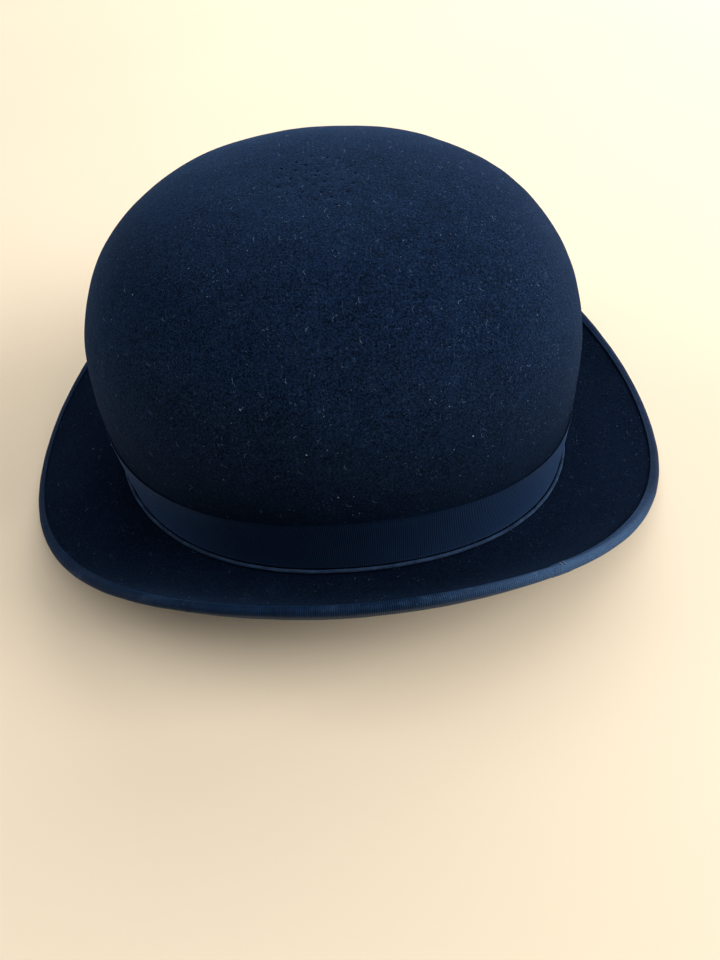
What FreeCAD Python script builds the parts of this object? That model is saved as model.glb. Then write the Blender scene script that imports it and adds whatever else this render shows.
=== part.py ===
"""Bowler hat: stiff felt body, ribbon and bow, bound brim, leather sweatband and lining.

Frame, in millimetres: +X is the front of the hat, +Y the wearer's left, +Z up.
The origin is on the surface that the hat stands on, under the middle of the brim.
Angles run round the hat from the front, and from there towards the wearer's left.
"""
import FreeCAD, Part
import math
import os

# ---------------------------------------------------------------- crown and brim of the felt
CROWN_HALF_LENGTH = 97.4      # outside of the felt where crown and brim meet
CROWN_HALF_WIDTH = 86.4
CROWN_SWELL_LENGTH = 1.5      # how much the crown grows up to its widest level
CROWN_SWELL_WIDTH = 0.8
OVAL_POWER = 2.06             # 2 is an ellipse; more is squarer
WIDEST_HEIGHT = 51.0
HAT_HEIGHT = 135.0
DOME_SPREAD = 2.86            # fullness of the dome sideways
DOME_RISE = 2.52              # fullness of the dome upwards
CROWN_LEAN = -1.4             # the tip sits this far forward of the base
CROWN_FELT = 2.2              # thickness

SIDE_JOIN_HEIGHT = 24.5       # where the crown meets the brim, at the two sides
FRONT_JOIN_HEIGHT = 5.6
BACK_JOIN_HEIGHT = 17.0
JOIN_RADIUS = 2.0             # inside corner between crown and brim
BRIM_HALF_LENGTH = 141.4      # over the binding
BRIM_HALF_WIDTH = 120.4
SIDE_EDGE_HEIGHT = 47.6       # middle of the brim's edge
EDGE_SWEEP = 2.69             # how late the edge dips towards front and back
EDGE_LIFT = 0.15              # raises the ends so that the binding just rests on the floor
BRIM_FELT = 2.6
CURL_ANGLE = math.radians(72)  # turn of the rolled-up side brim
CURL_SWEEP = 1.2              # how soon the roll fades towards front and back
DROOP_POWER = 1.4             # front and back brim fall away faster towards the edge

# ---------------------------------------------------------------- vent holes at the crown's tip
VENT_RADIUS = 0.45
VENT_MIDDLE = (-2.2, 2.4)     # the cluster sits a little off the middle of the tip
VENT_RINGS = ((0.0, 1), (4.6, 6), (9.2, 11), (13.8, 15))   # ring radius, holes
VENT_TWIST = 2.4              # each ring starts this many radians on from the last
VENT_FOOT = 126.0             # the holes are pricked from this height up
VENT_DEPTH = 13.0

# ---------------------------------------------------------------- ribbon, cord and bow outside
FIT_GAP = 0.15                # clear space between one layer and the next
RIBBON_THICKNESS = 0.5
RIBBON_TOP = 30.3             # above the join of crown and brim
RIBBON_BOTTOM = 2.1
CORD_RADIUS = 0.75
CORD_PLACE = 1.25             # the cord's middle stands this far out from crown and up from brim
BOW_ANGLE = math.radians(90)
BOW_LENGTH = 76.0
BOW_HEIGHT = 25.4
BOW_MIDDLE = 16.4             # height of the bow's middle above the join
BOW_FULLNESS = 1.6            # how far a loop stands open
BOW_PINCH = 0.86              # height of a loop at the knot, as a share of its height at the fold
KNOT_LENGTH = 12.0
KNOT_HEIGHT = 29.0

# ---------------------------------------------------------------- brim binding
BINDING_THICKNESS = 0.6
BINDING_TOP = 1.8             # width on the brim's upper face
BINDING_UNDER = 5.0
BINDING_CLEAR = 0.35          # the fold stands clear of the felt's square edge
BINDING_REACH = BRIM_FELT / 2 + FIT_GAP + BINDING_THICKNESS    # from the middle of the felt
BINDING_JOIN_ANGLE = math.radians(-53.5)
BINDING_JOIN_LENGTH = 9.0
BINDING_JOIN_THICKNESS = 0.4

# ---------------------------------------------------------------- sweatband, reed and lining inside
# Offsets are measured from the crown's outer face, and negative ones lie inside it.
BACK_ANGLE = math.radians(180)
SEAM_GAP = 0.8                # between two ends that meet
LEATHER_OUT = -3.6
LEATHER_THICKNESS = 1.0
LEATHER_BOTTOM = 1.8
LEATHER_TOP = 44.0
REED_RADIUS = 0.6
REED_OFFSET = -3.9
REED_LEVEL = -0.4
TAPE_THICKNESS = 0.3
TAPE_LEG_OUT = -2.6           # middle of the tape's two legs
TAPE_LEG_IN = -3.0
TAPE_TOP = 8.0
TAPE_POCKET = 1.0             # radius of the fold round the reed, to the middle of the tape
POCKET_START = math.radians(15)
POCKET_TURN = math.radians(305)
STITCH_RADIUS = 0.22
STITCH_LENGTH = 3.2
STITCH_COUNT = 110
STITCH_LEVEL = 4.6
STITCH_GAP = 0.05             # clear space between thread and leather
SEAM_TAPE_WIDTH = 9.0
SEAM_TAPE_THICKNESS = 0.4
SEAM_TAPE_BOTTOM = 3.0
SEAM_TAPE_TOP = 42.0
INNER_BOW_LENGTH = 24.0
INNER_BOW_HEIGHT = 7.0
INNER_BOW_LEVEL = 10.0
INNER_BOW_FULLNESS = 1.0
INNER_BOW_THICKNESS = 0.3
INNER_KNOT_LENGTH = 5.0
INNER_KNOT_HEIGHT = 8.0
TAB_WIDTH = 22.0
TAB_THICKNESS = 0.25
TAB_BOTTOM = 32.0
TAB_TOP = 51.0
LINING_OUT = -2.65
LINING_THICKNESS = 0.35
LINING_BOTTOM = 9.0
LINING_SPLIT = 0.50           # share of the dome's arc where the side panel meets the tip
LINING_SPLIT_GAP = 0.015
PIPING_RADIUS = 0.7

# ---------------------------------------------------------------- how finely the shapes are taken
STATIONS = 48                 # points taken round the hat
DOME_ARC = (0.10, 0.20, 0.30, 0.40, 0.50, 0.60, 0.70, 0.80, 0.88, 0.94, 0.975, 0.992)
WALL_SHARES = (1.0, 0.7, 0.45, 0.25, 0.1, 0.03, 0.0)
BRIM_SHARES = (0.0, 0.04, 0.1, 0.18, 0.28, 0.38, 0.49, 0.6, 0.7, 0.8, 0.88, 0.94, 1.0)
PATH_SHARES = (0.0, 0.3, 0.55, 0.75, 0.9, 1.0)    # along the flat stretches of a folded ribbon
TAPE_SHARES = (1.0, 0.6, 0.25)
BINDING_SHARES = (0.0, 0.33, 0.66, 1.0)
SHORT_STATIONS = 5            # points taken along or across a short length of ribbon
LOW_ROWS = 4                  # rows up a low strip, and up a tall one
TALL_ROWS = 6
CORNER_STEPS = 4              # steps round the corner between crown and brim
FOLD_STEPS = 6                # steps round the fold of a ribbon
POCKET_STEPS = 7              # steps round the reed's pocket
CORD_STEPS = 4                # steps round each half of a cord
SMALL_TURN = 0.01             # step for directions found from two near points

UP = FreeCAD.Vector(0, 0, 1)


# ================================================================ the hat's two ovals
def mix(low, high, share):
    return low + (high - low) * share


def oval(half_length, half_width, angle):
    across = abs(math.cos(angle) / half_length) ** OVAL_POWER
    along = abs(math.sin(angle) / half_width) ** OVAL_POWER
    reach = (across + along) ** (-1 / OVAL_POWER)
    return FreeCAD.Vector(reach * math.cos(angle), reach * math.sin(angle), 0)


def join_height(angle):
    ends = mix(FRONT_JOIN_HEIGHT, BACK_JOIN_HEIGHT, (1 - math.cos(angle)) / 2)
    return mix(SIDE_JOIN_HEIGHT, ends, math.cos(angle) ** 2)


def edge_height(angle):
    ends = BINDING_REACH + EDGE_LIFT
    return mix(SIDE_EDGE_HEIGHT, ends, abs(math.cos(angle)) ** EDGE_SWEEP)


# ================================================================ crown
def crown_at(angle, height, offset):
    """Point at a height above the floor, outside (+) or inside (-) the crown's outer face."""
    base = join_height(angle)
    if height <= WIDEST_HEIGHT:
        swell = math.sin(max(0.0, (height - base) / (WIDEST_HEIGHT - base)) * math.pi / 2)
        spread = 1.0
    else:
        swell = 1.0
        rise = (height - WIDEST_HEIGHT) / (HAT_HEIGHT + offset - WIDEST_HEIGHT)
        turn = math.asin(min(1.0, rise ** (DOME_RISE / 2)))
        spread = math.cos(turn) ** (2 / DOME_SPREAD)
    length = (CROWN_HALF_LENGTH + CROWN_SWELL_LENGTH * swell + offset) * spread
    width = (CROWN_HALF_WIDTH + CROWN_SWELL_WIDTH * swell + offset) * spread
    point = oval(length, width, angle)
    lean = CROWN_LEAN * max(0.0, (height - base) / (HAT_HEIGHT - base))
    return point + FreeCAD.Vector(lean, 0, height)


def wall_at(angle, level, offset):
    """Point at a level above the line where crown and brim meet."""
    return crown_at(angle, join_height(angle) + level, offset)


def dome_at(angle, arc, offset):
    """Point on the dome: arc is 0 at the crown's widest level and 1 at its tip."""
    rise = math.sin(arc * math.pi / 2) ** (2 / DOME_RISE)
    return crown_at(angle, mix(WIDEST_HEIGHT, HAT_HEIGHT + offset, rise), offset)


# ================================================================ brim
def brim_middle(angle, share):
    """Point in the middle of the brim's thickness: share is 0 at the crown and 1 at the edge."""
    root = oval(CROWN_HALF_LENGTH + JOIN_RADIUS, CROWN_HALF_WIDTH + JOIN_RADIUS, angle)
    cover = BINDING_REACH + BINDING_CLEAR
    rim = oval(BRIM_HALF_LENGTH - cover, BRIM_HALF_WIDTH - cover, angle)
    curl = abs(math.sin(angle)) ** CURL_SWEEP
    out = mix(share, math.sin(CURL_ANGLE * share) / math.sin(CURL_ANGLE), curl)
    rolled = (1 - math.cos(CURL_ANGLE * share)) / (1 - math.cos(CURL_ANGLE))
    up = mix(share ** DROOP_POWER, rolled, curl)
    point = root + (rim - root) * out
    point.z = mix(join_height(angle) - BRIM_FELT / 2, edge_height(angle), up)
    return point


def brim_normal(angle, share):
    """Unit vector square to the brim, towards its upper face."""
    near = brim_middle(angle, max(0.0, share - SMALL_TURN))
    far = brim_middle(angle, min(1.0, share + SMALL_TURN))
    along = brim_middle(angle + SMALL_TURN, share) - brim_middle(angle - SMALL_TURN, share)
    return (far - near).cross(along).normalize()


def brim_outward(angle):
    """Unit vector in the brim's plane, pointing out past its edge."""
    along = brim_middle(angle + SMALL_TURN, 1.0) - brim_middle(angle - SMALL_TURN, 1.0)
    return along.cross(brim_normal(angle, 1.0)).normalize()


def brim_at(angle, share, offset):
    return brim_middle(angle, share) + brim_normal(angle, share) * offset


def edge_share(angle, width):
    """The brim share that lies a width in from the edge."""
    strip = brim_middle(angle, 1.0).distanceToPoint(brim_middle(angle, 1.0 - SMALL_TURN))
    return 1.0 - width * SMALL_TURN / strip


def join_corner(angle, reach, turn):
    """Point on the round corner between crown (turn 0) and brim, a reach from its centre."""
    centre = oval(CROWN_HALF_LENGTH + JOIN_RADIUS, CROWN_HALF_WIDTH + JOIN_RADIUS, angle)
    outward = FreeCAD.Vector(centre.x, centre.y, 0).normalize()
    centre.z = join_height(angle) + JOIN_RADIUS
    return centre - outward * (reach * math.cos(turn)) - UP * (reach * math.sin(turn))


# ================================================================ surfaces through rows of points
def angles_round(start=0.0, turn=2 * math.pi, count=STATIONS, closed=True):
    last = count if closed else count - 1
    return [start + turn * step / last for step in range(count)]


def curve_through(points, closed, marks):
    curve = Part.BSplineCurve()
    curve.interpolate(Points=points, PeriodicFlag=closed, Parameters=marks)
    return curve


def ring_curve(row, closed):
    count = len(row) + 1 if closed else len(row)
    return curve_through(row, closed, [float(mark) for mark in range(count)])


def marks_along(rows):
    """One mark for each row, spaced as the rows lie on average."""
    marks = [0.0]
    for near, far in zip(rows, rows[1:]):
        gaps = [a.distanceToPoint(b) for a, b in zip(near, far)]
        marks.append(marks[-1] + sum(gaps) / len(gaps))
    return marks


def skin(rows, closed, marks):
    """Smooth face through rows of points at the given marks."""
    rings = [ring_curve(row, closed) for row in rows]
    columns = zip(*[ring.getPoles() for ring in rings])
    splines = [curve_through(list(column), False, marks) for column in columns]
    return face_of(rings[0], splines[0], [spline.getPoles() for spline in splines], closed)


def ruled(curves, closed):
    """Face ruled straight between two curves that share their knots."""
    columns = [list(pair) for pair in zip(*[curve.getPoles() for curve in curves])]
    straight = Part.BSplineCurve()
    straight.buildFromPoles(columns[0], False, 1)
    return face_of(curves[0], straight, columns, closed)


def face_of(ring, spline, columns, closed):
    surface = Part.BSplineSurface()
    surface.buildFromPolesMultsKnots(
        columns, ring.getMultiplicities(), spline.getMultiplicities(), ring.getKnots(), spline.getKnots(),
        closed, False, ring.Degree, spline.Degree)
    return surface.toShape()


def lid(row):
    """Flat face inside a closed ring of points."""
    return Part.Face(Part.Wire(ring_curve(row, True).toShape()))


def solid_of(faces):
    shell = Part.makeShell(faces)
    shell.sewShape()
    solid = Part.makeSolid(shell)
    if solid.Volume < 0:
        solid.reverse()
    return solid


def sheet_solid(front, back):
    """Sheet between two equal grids of points, with four straight-ruled edges."""
    marks = marks_along(front)
    faces = [skin(grid, False, marks) for grid in (front, back)]
    for end in (0, -1):
        faces.append(ruled([ring_curve(grid[end], False) for grid in (front, back)], False))
        sides = [[row[end] for row in grid] for grid in (front, back)]
        faces.append(ruled([curve_through(side, False, marks) for side in sides], False))
    return solid_of(faces)


def shell_solid(outer, inner, lidded_row, rim_row):
    """Closed dome between two sets of rings: lidded across one end row and rimmed at the other."""
    faces = [skin(rows, True, marks_along(rows)) for rows in (outer, inner)]
    faces += [lid(outer[lidded_row]), lid(inner[lidded_row])]
    rim = ruled([ring_curve(rows[rim_row], True) for rows in (outer, inner)], True)
    return solid_of(faces + [rim])


def cord_solid(centre_at, radius, angles):
    """Round cord along a closed line; centre_at gives a point and the outward direction there."""
    halves = []
    for start in (0.0, math.pi):
        rows = []
        for step in range(CORD_STEPS + 1):
            turn = start + math.pi * step / CORD_STEPS
            row = []
            for angle in angles:
                centre, outward = centre_at(angle)
                row.append(centre + outward * (radius * math.cos(turn)) + UP * (radius * math.sin(turn)))
            rows.append(row)
        halves.append(rows)
    halves[1][0] = halves[0][-1]
    halves[1][-1] = halves[0][0]
    marks = [float(step) for step in range(CORD_STEPS + 1)]
    return solid_of([skin(rows, True, marks) for rows in halves])


def outward_at(angle):
    """Level direction square to the crown's wall."""
    before = oval(CROWN_HALF_LENGTH, CROWN_HALF_WIDTH, angle - SMALL_TURN)
    after = oval(CROWN_HALF_LENGTH, CROWN_HALF_WIDTH, angle + SMALL_TURN)
    return (after - before).cross(UP).normalize()


def angle_span(length, angle):
    """Angle that a length of the crown's wall takes up near one place."""
    return length / oval(CROWN_HALF_LENGTH, CROWN_HALF_WIDTH, angle).Length


# ================================================================ strips and folds
def wall_strip(start, turn, count, bottom, top, offset, thickness, rows=LOW_ROWS):
    """Strip that follows the crown's wall between two levels."""
    angles = angles_round(start, turn, count, False)
    levels = [mix(bottom, top, step / (rows - 1)) for step in range(rows)]
    front = [[wall_at(a, level, offset + thickness) for a in angles] for level in levels]
    back = [[wall_at(a, level, offset) for a in angles] for level in levels]
    return sheet_solid(front, back)


def strip_angles(seam_angle):
    """Angles from one end of a strip round the hat to its other end, at the seam."""
    gap = angle_span(SEAM_GAP, seam_angle)
    return seam_angle + gap / 2, 2 * math.pi - gap


def full_strip(seam_angle, bottom, top, offset, thickness):
    start, turn = strip_angles(seam_angle)
    return wall_strip(start, turn, STATIONS + 1, bottom, top, offset, thickness, TALL_ROWS)


def patch(angle, width, bottom, top, offset, thickness):
    """Short strip centred on one angle."""
    turn = angle_span(width, angle)
    return wall_strip(angle - turn / 2, turn, SHORT_STATIONS, bottom, top, offset, thickness)


def both_faces(path, thickness):
    """The two lines half a thickness each side of a flat path."""
    left, right = [], []
    for step, (x, y) in enumerate(path):
        before = path[max(0, step - 1)]
        after = path[min(len(path) - 1, step + 1)]
        run, rise = after[0] - before[0], after[1] - before[1]
        scale = thickness / 2 / math.hypot(run, rise)
        left.append((x - rise * scale, y + run * scale))
        right.append((x + rise * scale, y - run * scale))
    return left, right


def folded_sheet(path, thickness, place):
    """Sheet of one thickness along a flat path; place(u, v, crossing) gives its points in space."""
    grids = []
    for face in both_faces(path, thickness):
        grids.append([[place(u, v, 2 * step / (SHORT_STATIONS - 1) - 1) for step in range(SHORT_STATIONS)]
                      for u, v in face])
    return sheet_solid(*grids)


# ================================================================ felt
def felt_body():
    """Crown and brim blocked from one felt hood, with the vent holes pricked through the tip."""
    outer = felt_rows(0.0, BRIM_FELT / 2)
    inner = felt_rows(-CROWN_FELT, -BRIM_FELT / 2)
    return shell_solid(outer, inner, 0, -1).cut(Part.makeCompound(vent_pins()))


def felt_rows(crown_offset, brim_offset):
    """Rings of points from the tip of the crown down to the join and out to the brim's edge."""
    angles = angles_round()
    rows = [[dome_at(a, arc, crown_offset) for a in angles] for arc in reversed(DOME_ARC)]
    for share in WALL_SHARES:
        rows.append([crown_at(a, mix(join_height(a) + JOIN_RADIUS, WIDEST_HEIGHT, share), crown_offset)
                     for a in angles])
    for step in range(1, CORNER_STEPS):
        share = step / CORNER_STEPS
        reach = JOIN_RADIUS + mix(-crown_offset, BRIM_FELT / 2 - brim_offset, share)
        rows.append([join_corner(a, reach, math.pi / 2 * share) for a in angles])
    rows += [[brim_at(a, share, brim_offset) for a in angles] for share in BRIM_SHARES]
    return rows


def vent_pins():
    pins = []
    for ring, (radius, count) in enumerate(VENT_RINGS):
        for step in range(count):
            angle = VENT_TWIST * ring + 2 * math.pi * step / count
            x = VENT_MIDDLE[0] + radius * math.cos(angle)
            y = VENT_MIDDLE[1] + radius * math.sin(angle)
            pins.append(Part.makeCylinder(VENT_RADIUS, VENT_DEPTH, FreeCAD.Vector(x, y, VENT_FOOT)))
    return pins


# ================================================================ ribbon, cord and bow
def crown_band():
    return full_strip(BOW_ANGLE, RIBBON_BOTTOM, RIBBON_TOP, FIT_GAP, RIBBON_THICKNESS)


def band_cord():
    def centre(angle):
        return wall_at(angle, CORD_PLACE, CORD_PLACE), outward_at(angle)
    return cord_solid(centre, CORD_RADIUS, angles_round())


def bow_layer(layer):
    """Middle of each layer under the bow: 0 is the back of the knot, 1 the base, 2 the loops' backs."""
    over_band = FIT_GAP + RIBBON_THICKNESS
    return over_band + (layer + 0.5) * (FIT_GAP + RIBBON_THICKNESS) + FIT_GAP / 2


def bow_base():
    """Flat length of ribbon behind the loops."""
    return patch(BOW_ANGLE, BOW_LENGTH - KNOT_LENGTH / 2, BOW_MIDDLE - BOW_HEIGHT / 2,
                 BOW_MIDDLE + BOW_HEIGHT / 2, bow_layer(1) - RIBBON_THICKNESS / 2, RIBBON_THICKNESS)


def half_round(x, y, radius, start):
    """Points of a half circle in a flat path, its two ends left out."""
    turns = [start + math.pi * step / FOLD_STEPS for step in range(1, FOLD_STEPS)]
    return [(x + radius * math.cos(turn), y + radius * math.sin(turn)) for turn in turns]


def loop_path(near, far, back, fullness):
    """Flat path of a loop: out along its back, round the fold and home along its front."""
    radius = fullness / 2
    lengths = [mix(near, far - radius, share) for share in PATH_SHARES]
    fold = half_round(far - radius, back + radius, radius, -math.pi / 2)
    return [(x, back) for x in lengths] + fold + [(x, back + fullness) for x in reversed(lengths)]


def bow_loop(direction):
    """One loop of the bow; direction 1 runs towards the front and -1 towards the back."""
    turn = angle_span(1.0, BOW_ANGLE)
    path = loop_path(FIT_GAP, BOW_LENGTH / 2, bow_layer(2), BOW_FULLNESS)

    def place(length, offset, crossing):
        pinch = mix(BOW_PINCH, 1.0, min(1.0, 2 * length / BOW_LENGTH))
        level = BOW_MIDDLE + crossing * BOW_HEIGHT / 2 * pinch
        return wall_at(BOW_ANGLE - direction * length * turn, level, offset)
    return folded_sheet(path, RIBBON_THICKNESS, place)


def wrap_path(height, back, front):
    """Flat path of a knot that wraps a bow: its two ends meet behind the bow."""
    radius = (front - back) / 2
    heights = [mix(SEAM_GAP / 2, height / 2 - radius, share) for share in PATH_SHARES]
    upper = [(x, back) for x in heights]
    upper += half_round(height / 2 - radius, back + radius, radius, -math.pi / 2)
    upper += [(x, front) for x in reversed(heights)]
    return upper + [(-x, y) for x, y in reversed(upper)]


def bow_knot():
    """Short ribbon wrapped round the middle of the bow."""
    turn = angle_span(1.0, BOW_ANGLE)
    front = bow_layer(2) + BOW_FULLNESS + RIBBON_THICKNESS + FIT_GAP
    path = wrap_path(KNOT_HEIGHT, bow_layer(0), front)

    def place(level, offset, crossing):
        return wall_at(BOW_ANGLE + crossing * KNOT_LENGTH / 2 * turn, BOW_MIDDLE + level, offset)
    return folded_sheet(path, RIBBON_THICKNESS, place)


# ================================================================ brim binding
def binding_sheet(angles, reach, thickness):
    """Ribbon folded over the brim's edge, its inner face a reach from the middle of the felt."""
    def rows(height):
        grid = []
        for share in BINDING_SHARES:
            grid.append([brim_at(a, mix(edge_share(a, BINDING_TOP), 1.0, share), height) for a in angles])
        for step in range(1, FOLD_STEPS):
            turn = math.pi * (0.5 - step / FOLD_STEPS)
            grid.append([edge_fold(a, height, turn) for a in angles])
        for share in reversed(BINDING_SHARES):
            grid.append([brim_at(a, mix(edge_share(a, BINDING_UNDER), 1.0, share), -height)
                         for a in angles])
        return grid
    return sheet_solid(rows(reach + thickness), rows(reach))


def edge_fold(angle, height, turn):
    """Point on the round fold past the brim's edge; turn goes from the upper face to the lower."""
    outward = brim_outward(angle)
    middle = brim_middle(angle, 1.0) + outward * BINDING_CLEAR
    normal = brim_normal(angle, 1.0)
    return middle + outward * (height * math.cos(turn)) + normal * (height * math.sin(turn))


def brim_binding():
    start, turn = strip_angles(BINDING_JOIN_ANGLE)
    angles = angles_round(start, turn, STATIONS + 1, False)
    return binding_sheet(angles, BINDING_REACH - BINDING_THICKNESS, BINDING_THICKNESS)


def binding_join():
    """Overlapping end of the binding."""
    turn = BINDING_JOIN_LENGTH / oval(BRIM_HALF_LENGTH, BRIM_HALF_WIDTH, BINDING_JOIN_ANGLE).Length
    angles = angles_round(BINDING_JOIN_ANGLE - turn / 2, turn, SHORT_STATIONS, False)
    return binding_sheet(angles, BINDING_REACH + FIT_GAP, BINDING_JOIN_THICKNESS)


# ================================================================ sweatband
def sweatband():
    return full_strip(BACK_ANGLE, LEATHER_BOTTOM, LEATHER_TOP, LEATHER_OUT - LEATHER_THICKNESS,
                      LEATHER_THICKNESS)


def sweatband_tape():
    """Tape folded round the reed, its two legs standing between felt and leather."""
    path = [(TAPE_LEG_OUT, TAPE_TOP * share) for share in TAPE_SHARES]
    for step in range(POCKET_STEPS + 1):
        turn = POCKET_START - POCKET_TURN * step / POCKET_STEPS
        path.append((REED_OFFSET + TAPE_POCKET * math.cos(turn), REED_LEVEL + TAPE_POCKET * math.sin(turn)))
    path += [(TAPE_LEG_IN, TAPE_TOP * share) for share in reversed(TAPE_SHARES)]
    start, turn = strip_angles(BACK_ANGLE)
    angles = angles_round(start, turn, STATIONS + 1, False)
    grids = []
    for face in both_faces(path, TAPE_THICKNESS):
        grids.append([[wall_at(a, level, offset) for a in angles] for offset, level in face])
    return sheet_solid(*grids)


def sweatband_reed():
    def centre(angle):
        return wall_at(angle, REED_LEVEL, REED_OFFSET), outward_at(angle)
    return cord_solid(centre, REED_RADIUS, angles_round())


def sweatband_stitches():
    """Running stitches that hold the leather to the tape."""
    stitches = []
    offset = LEATHER_OUT - LEATHER_THICKNESS - STITCH_RADIUS - STITCH_GAP
    for step in range(STITCH_COUNT):
        angle = 2 * math.pi * (step + 0.5) / STITCH_COUNT
        if abs(angle - BACK_ANGLE) < angle_span(SEAM_TAPE_WIDTH, BACK_ANGLE):
            continue
        middle = wall_at(angle, STITCH_LEVEL, offset)
        ahead = wall_at(angle + SMALL_TURN, STITCH_LEVEL, offset)
        along = (ahead - middle).normalize()
        stitches.append(Part.makeCylinder(STITCH_RADIUS, STITCH_LENGTH, middle - along * (STITCH_LENGTH / 2),
                                          along))
    return Part.makeCompound(stitches)


def sweatband_seam_tape():
    offset = LEATHER_OUT - LEATHER_THICKNESS - FIT_GAP - SEAM_TAPE_THICKNESS
    return patch(BACK_ANGLE, SEAM_TAPE_WIDTH, SEAM_TAPE_BOTTOM, SEAM_TAPE_TOP, offset, SEAM_TAPE_THICKNESS)


def inner_layer(layer):
    """Depth below the seam tape's face of each layer of the small bow."""
    face = LEATHER_OUT - LEATHER_THICKNESS - FIT_GAP - SEAM_TAPE_THICKNESS
    return face - FIT_GAP - (layer + 0.5) * INNER_BOW_THICKNESS - layer * FIT_GAP


def sweatband_bow_loops():
    """Two small loops of ribbon on the back seam of the sweatband."""
    turn = angle_span(1.0, BACK_ANGLE)
    loops = []
    for direction in (1, -1):
        path = loop_path(FIT_GAP, INNER_BOW_LENGTH / 2, 0.0, INNER_BOW_FULLNESS)

        def place(length, depth, crossing):
            level = INNER_BOW_LEVEL + crossing * INNER_BOW_HEIGHT / 2
            return wall_at(BACK_ANGLE + direction * length * turn, level, inner_layer(1) - depth)
        loops.append(folded_sheet(path, INNER_BOW_THICKNESS, place))
    return Part.makeCompound(loops)


def sweatband_bow_knot():
    turn = angle_span(1.0, BACK_ANGLE)
    depth = inner_layer(0) - inner_layer(1) + INNER_BOW_FULLNESS + INNER_BOW_THICKNESS + FIT_GAP
    path = wrap_path(INNER_KNOT_HEIGHT, 0.0, depth)

    def place(level, depth, crossing):
        angle = BACK_ANGLE + crossing * INNER_KNOT_LENGTH / 2 * turn
        return wall_at(angle, INNER_BOW_LEVEL + level, inner_layer(0) - depth)
    return folded_sheet(path, INNER_BOW_THICKNESS, place)


def size_tab():
    """Plain tab tucked behind the leather."""
    return patch(BACK_ANGLE, TAB_WIDTH, TAB_BOTTOM, TAB_TOP, LEATHER_OUT + FIT_GAP, TAB_THICKNESS)


# ================================================================ lining
def lining_side():
    """Side panel of the lining, from the sweatband up to the tip."""
    start, turn = strip_angles(BACK_ANGLE)
    angles = angles_round(start, turn, STATIONS + 1, False)

    def rows(offset):
        grid = []
        for share in reversed(WALL_SHARES):
            grid.append([crown_at(a, mix(join_height(a) + LINING_BOTTOM, WIDEST_HEIGHT, share), offset)
                         for a in angles])
        for arc in DOME_ARC:
            if arc <= LINING_SPLIT:
                grid.append([dome_at(a, arc, offset) for a in angles])
        return grid
    return sheet_solid(rows(LINING_OUT), rows(LINING_OUT - LINING_THICKNESS))


def lining_tip():
    """Oval top of the lining."""
    angles = angles_round()
    arcs = [LINING_SPLIT + LINING_SPLIT_GAP] + [arc for arc in DOME_ARC if arc > LINING_SPLIT]

    def rows(offset):
        return [[dome_at(a, arc, offset) for a in angles] for arc in arcs]
    return shell_solid(rows(LINING_OUT), rows(LINING_OUT - LINING_THICKNESS), -1, 0)


def lining_piping():
    """Covered cord along the seam between the lining's side and tip."""
    offset = LINING_OUT - LINING_THICKNESS - PIPING_RADIUS - FIT_GAP

    def centre(angle):
        return dome_at(angle, LINING_SPLIT + LINING_SPLIT_GAP / 2, offset), outward_at(angle)
    return cord_solid(centre, PIPING_RADIUS, angles_round())


MAKERS = {
    "felt_body": felt_body,
    "crown_band": crown_band,
    "band_cord": band_cord,
    "bow_base": bow_base,
    "bow_loop_front": lambda: bow_loop(1),
    "bow_loop_back": lambda: bow_loop(-1),
    "bow_knot": bow_knot,
    "brim_binding": brim_binding,
    "binding_join": binding_join,
    "sweatband": sweatband,
    "sweatband_tape": sweatband_tape,
    "sweatband_reed": sweatband_reed,
    "sweatband_stitches": sweatband_stitches,
    "sweatband_seam_tape": sweatband_seam_tape,
    "sweatband_bow_loops": sweatband_bow_loops,
    "sweatband_bow_knot": sweatband_bow_knot,
    "size_tab": size_tab,
    "lining_side": lining_side,
    "lining_tip": lining_tip,
    "lining_piping": lining_piping,
}


def main():
    os.makedirs("parts", exist_ok=True)
    for name, maker in MAKERS.items():
        shape = maker()
        shape.exportStep("parts/" + name + ".step")
        box = shape.optimalBoundingBox(False)
        print(name, len(shape.Solids), shape.isValid(), round(shape.Volume, 1),
              [round(v, 2) for v in (box.XMin, box.XMax, box.YMin, box.YMax, box.ZMin, box.ZMax)])


main()
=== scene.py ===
"""Bowler hat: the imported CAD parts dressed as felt, grosgrain, cord, leather and satin.

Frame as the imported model: metres, +X the front of the hat, +Y the wearer's left, +Z up.
Shapes are worked out in millimetres, with the parts' own sizes, and scaled as each mesh is made.
Angles run round the hat from the front, and from there towards the wearer's left.
"""
import math

import bmesh
import bpy
import numpy as np
from mathutils import Matrix, Vector
from mathutils.geometry import delaunay_2d_cdt


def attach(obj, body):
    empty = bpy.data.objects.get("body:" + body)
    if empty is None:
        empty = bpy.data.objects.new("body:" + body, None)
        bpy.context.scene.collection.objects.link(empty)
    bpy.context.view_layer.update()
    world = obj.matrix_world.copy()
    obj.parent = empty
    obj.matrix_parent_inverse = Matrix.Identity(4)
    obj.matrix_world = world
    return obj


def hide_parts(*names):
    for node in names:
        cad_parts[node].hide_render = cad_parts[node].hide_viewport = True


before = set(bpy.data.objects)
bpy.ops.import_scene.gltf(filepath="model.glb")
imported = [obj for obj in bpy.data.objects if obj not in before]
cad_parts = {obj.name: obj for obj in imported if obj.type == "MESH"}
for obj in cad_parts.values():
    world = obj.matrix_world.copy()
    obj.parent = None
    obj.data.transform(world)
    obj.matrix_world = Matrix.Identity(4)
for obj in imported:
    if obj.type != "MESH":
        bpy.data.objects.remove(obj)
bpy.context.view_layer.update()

MM = 0.001
TURN = 2 * math.pi
BODY = "root"

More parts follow.
